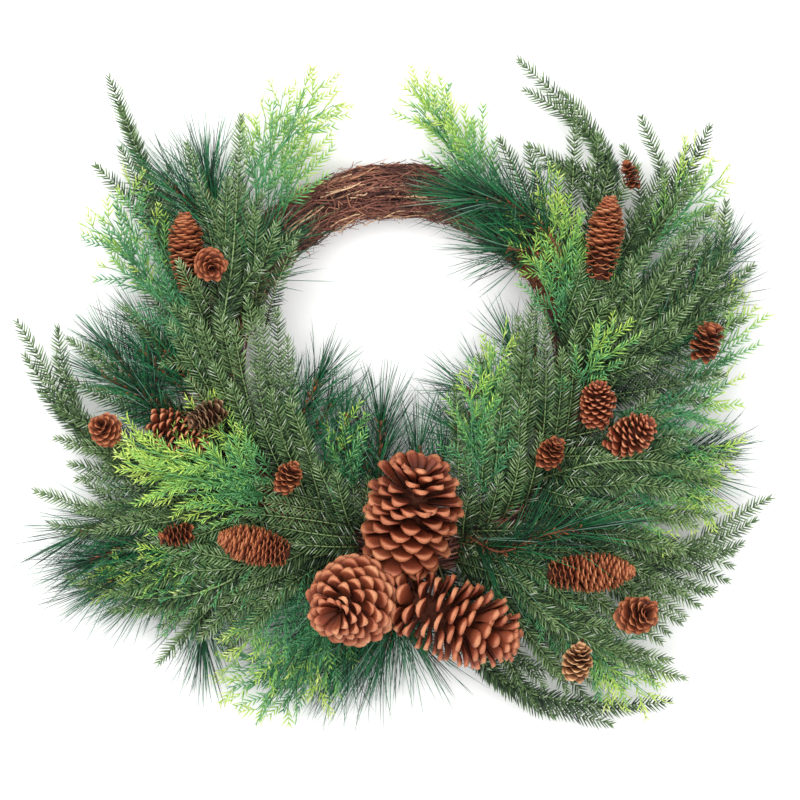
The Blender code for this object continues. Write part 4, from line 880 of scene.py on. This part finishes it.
def makeCone(name, plan, rng):
    kind = name.split("_")[0]
    look = {**coneLooks[kind], **coneShape, **plan}
    low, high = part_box(name)
    middle = np.array((low + high) / 2) / cm - ringMiddle + look.get("shift", (0, 0, 0))
    wire = []
    if "at" in plan:  # it stands on a wire, and its solid reaches down to the wire's foot
        middle = np.array(plan["at"])
        verts = np.array([v.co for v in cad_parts[name].data.vertices]) / cm - ringMiddle
        foot = verts[np.argsort(-np.linalg.norm(verts - middle, axis=1))[:4]].mean(axis=0)
        wire.append(rod(np.linspace(middle, foot, 6), (look["wire"],) * 2, 6, look["wireTint"], part=1))
    turn, tilt = math.radians(plan["heading"]), math.radians(plan["tilt"])
    axis = np.array([math.cos(turn) * math.cos(tilt), math.sin(turn) * math.cos(tilt), math.sin(tilt)])
    side = unit(np.cross(axis, up))
    other = np.cross(side, axis)
    long, wide, n = plan["length"], plan["width"], look["scales"]
    first, last = look["swell"]
    # the scales, along a spiral from the stalk to the tip
    t = ((np.arange(n) + 0.5) / n) ** look["packing"]
    around = np.arange(n) * goldenTurn
    outward = np.cos(around)[:, None] * side + np.sin(around)[:, None] * other
    swell = np.sin(math.pi * (first + (last - first) * t)) ** look["fullness"]
    closing = np.interp(t, [0, 0.75, 1], [1, 1, 0.2])
    coreRadius = wide * 0.5 * look["core"] * swell * closing
    lean = np.radians(np.interp(t, [0, 0.35, 0.75, 1], look["lean"]) + rng.normal(0, look["ragged"], n))
    heading = np.cos(lean)[:, None] * axis + np.sin(lean)[:, None] * outward
    shortest, longest = (wide * look["long"] * limit for limit in look["scaleLimits"])
    length = np.minimum((wide * 0.5 * swell - coreRadius) / np.maximum(np.sin(lean), 0.42), longest)
    length = np.maximum(length, shortest) * rng.uniform(*look["scaleScatter"], n)
    length = length * np.interp(t, [0, 0.7, 1], [1, 1, look["tipScales"]])
    width = wide * look["wide"] * (0.55 + 0.45 * swell) * np.interp(t, [0, 0.35, 0.6, 1], look["taper"])
    place = middle + axis * ((t - 0.5) * look["rows"] * long - long * look["back"])[:, None]
    place = place + outward * coreRadius[:, None] * look["sunk"]
    sizes = np.stack([width, np.full(n, wide * look["wide"] * 1.1), length], 1)
    tint = rng.uniform(*plan["tint"], n)
    scales = stamp(look["shape"], place, heading, -np.cross(np.cross(heading, axis), heading), sizes, tint)
    # the core they stand on
    steps = np.linspace(-0.5, 0.5, look["coreRings"])
    bulge = np.sin(math.pi * np.linspace(first, last, look["coreRings"])) ** look["fullness"]
    radii = wide * 0.5 * look["core"] * look["coreWidth"] * bulge
    radii = radii * np.interp(steps, [-0.5, 0.25, 0.5], [1, 1, 0.1])
    path = middle + axis * (steps[:, None] - look["back"]) * long * look["coreLength"]
    core = rod(path, radii, look["coreSides"], look["coreTint"], part=1)
    skin = plan.get("skin", coneScale if kind == "pine" else smallScale)
    piece = makePiece(name.replace("cone", "scales"), [scales, core] + wire, [skin, coneCore])
    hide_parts(name)


for i, (name, plan) in enumerate(cones.items()):
    makeCone(name, plan, np.random.default_rng(coneSeed + i))
print("cones made")

# bare: the bearings where the loose twigs show most, in degrees. tan: the share of pale twigs
ringLook = {"radius": 14.3, "bundle": 2.0, "middle": 1.75, "twigs": 440, "tangle": 900, "bare": (48, 152),
            "tan": 0.07, "wave": 0.13, "tanWave": 0.25, "lift": 1.6, "core": 0.72, "sweep": (0.5, 1.6),
            "looseSweep": (0.06, 0.34), "twist": 0.9, "looseTwist": 0.75, "tanTwist": 0.15,
            "thick": [0.055, 0.08, 0.11], "thickShares": [0.5, 0.35, 0.15], "looseThick": (0.022, 0.06),
            "tanThick": 0.07, "inside": (0.35, 0.97), "looseInside": (0.88, 1.04), "lowest": 0.10,
            "sideWave": 0.012, "turnWave": 0.12, "tints": (0.0, 0.85), "tanTints": (0.88, 1.0)}


def makeRing():
    rng = np.random.default_rng(ringSeed)
    look = ringLook
    circle = 2 * math.pi
    parts = []
    for k in range(look["twigs"] + look["tangle"]):
        loose = k >= look["twigs"]
        start = math.radians(rng.uniform(*look["bare"])) if loose and k % 4 else rng.uniform(0, circle)
        sweep = rng.uniform(*look["looseSweep" if loose else "sweep"])
        sweep = sweep * rng.choice((-1, 1)) if loose else sweep
        tan = rng.random() < look["tan"]
        wave = look["tanWave"] if tan else 1.0
        t = np.linspace(0, 1, 9 if loose else max(7, int(abs(sweep) * 14)))
        bearing = start + sweep * t
        deep = look["bundle"] * (rng.uniform(*look["looseInside"]) if loose
                                 else math.sqrt(rng.uniform(*look["inside"])))
        if loose:
            twist = rng.normal(0, look["tanTwist"] if tan else look["looseTwist"])
            aroundBundle = rng.uniform(-0.4, 3.5) + twist * t
        else:
            twist = rng.normal(0, look["twist"]) * sweep
            aroundBundle = rng.uniform(0, circle) + twist * t
        off = deep + look["wave"] * wave * np.sin(t * rng.uniform(4, 11) + rng.uniform(0, 6))
        if loose:
            bearing = bearing + look["sideWave"] * wave * np.sin(t * rng.uniform(6, 16) + rng.uniform(0, 6))
            wobble = np.sin(t * rng.uniform(5, 14) + rng.uniform(0, 6))
            aroundBundle = aroundBundle + look["turnWave"] * wave * wobble
            off = off + np.abs(t - rng.uniform(0.2, 0.6)) ** 2 * rng.uniform(0.0, look["lift"])
        out = look["radius"] + off * np.cos(aroundBundle)
        high = look["middle"] + off * np.sin(aroundBundle)
        path = np.stack([out * np.cos(bearing), out * np.sin(bearing), np.maximum(high, look["lowest"])], 1)
        if loose:
            thick = rng.uniform(*look["looseThick"])
            thick = look["tanThick"] if tan else thick
        else:
            thick = rng.choice(look["thick"], p=look["thickShares"])
        tint = rng.uniform(*look["tanTints" if tan else "tints"])
        parts.append(rod(path, (thick * 0.8, thick, thick * 0.5), 4, tint))
    # a rod through the bundle's middle in the darkest tint: painted shade deep among the twigs
    bearing = np.linspace(0, circle, 73)
    path = np.stack([look["radius"] * np.cos(bearing), look["radius"] * np.sin(bearing),
                     np.full(len(bearing), look["middle"])], 1)
    parts.append(rod(path, (look["bundle"] * look["core"],) * 2, 10, 0.02))
    piece = makePiece("ring_twigs", parts, [ringTwig])
    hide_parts("twig_ring")


makeRing()
print("ring wound")

stageLook = {"floor": (0.98, 0.98, 0.98), "floorSize": 12, "sky": 0.9, "cameraHeight": 2.4, "sensor": 36.0,
             "viewWidth": 0.627, "viewLevel": 0.05, "viewMiddle": (0.0, -2.35),
             "lamps": {"key": {"at": (-0.9, 1.1, 2.0), "size": 1.4, "power": 30.0},
                       "over": {"at": (0.5, -0.4, 2.9), "size": 2.2, "power": 40.0}}}


def makeStage():
    deselectAll()
    bpy.ops.mesh.primitive_plane_add(size=stageLook["floorSize"], location=(0, 0, 0))
    floor = bpy.context.object
    floor.name = "floor"
    plain = bpy.data.materials.new("floorWhite")
    plain.use_nodes = True
    shader = plain.node_tree.nodes["Principled BSDF"]
    shader.inputs["Base Color"].default_value = (*stageLook["floor"], 1.0)
    shader.inputs["Roughness"].default_value = 0.9
    shader.inputs["Specular IOR Level"].default_value = 0.1
    floor.data.materials.append(plain)
    world = bpy.data.worlds.new("studio")
    world.use_nodes = True
    sky = world.node_tree.nodes["Background"]
    sky.inputs["Color"].default_value = (1.0, 1.0, 1.0, 1.0)
    sky.inputs["Strength"].default_value = stageLook["sky"]
    bpy.context.scene.world = world
    for name, plan in stageLook["lamps"].items():
        light = bpy.data.lights.new(name, "AREA")
        light.size = plan["size"]
        light.energy = plan["power"]
        lamp = bpy.data.objects.new(name, light)
        lamp.location = plan["at"]
        lamp.rotation_euler = (Vector((0, 0, 0.04)) - lamp.location).to_track_quat("-Z", "Y").to_euler()
        bpy.context.scene.collection.objects.link(lamp)
    lens = bpy.data.cameras.new("camera")
    lens.sensor_width = stageLook["sensor"]
    away = stageLook["cameraHeight"] - stageLook["viewLevel"]
    lens.lens = stageLook["sensor"] * away / stageLook["viewWidth"]
    camera = bpy.data.objects.new("camera", lens)
    x, y = stageLook["viewMiddle"]
    camera.location = ((ringMiddle[0] + x) * cm, (ringMiddle[1] + y) * cm, stageLook["cameraHeight"])
    bpy.context.scene.collection.objects.link(camera)
    bpy.context.scene.camera = camera
    bpy.context.scene.view_settings.view_transform = "Standard"


makeStage()
print("floor, light and camera set")
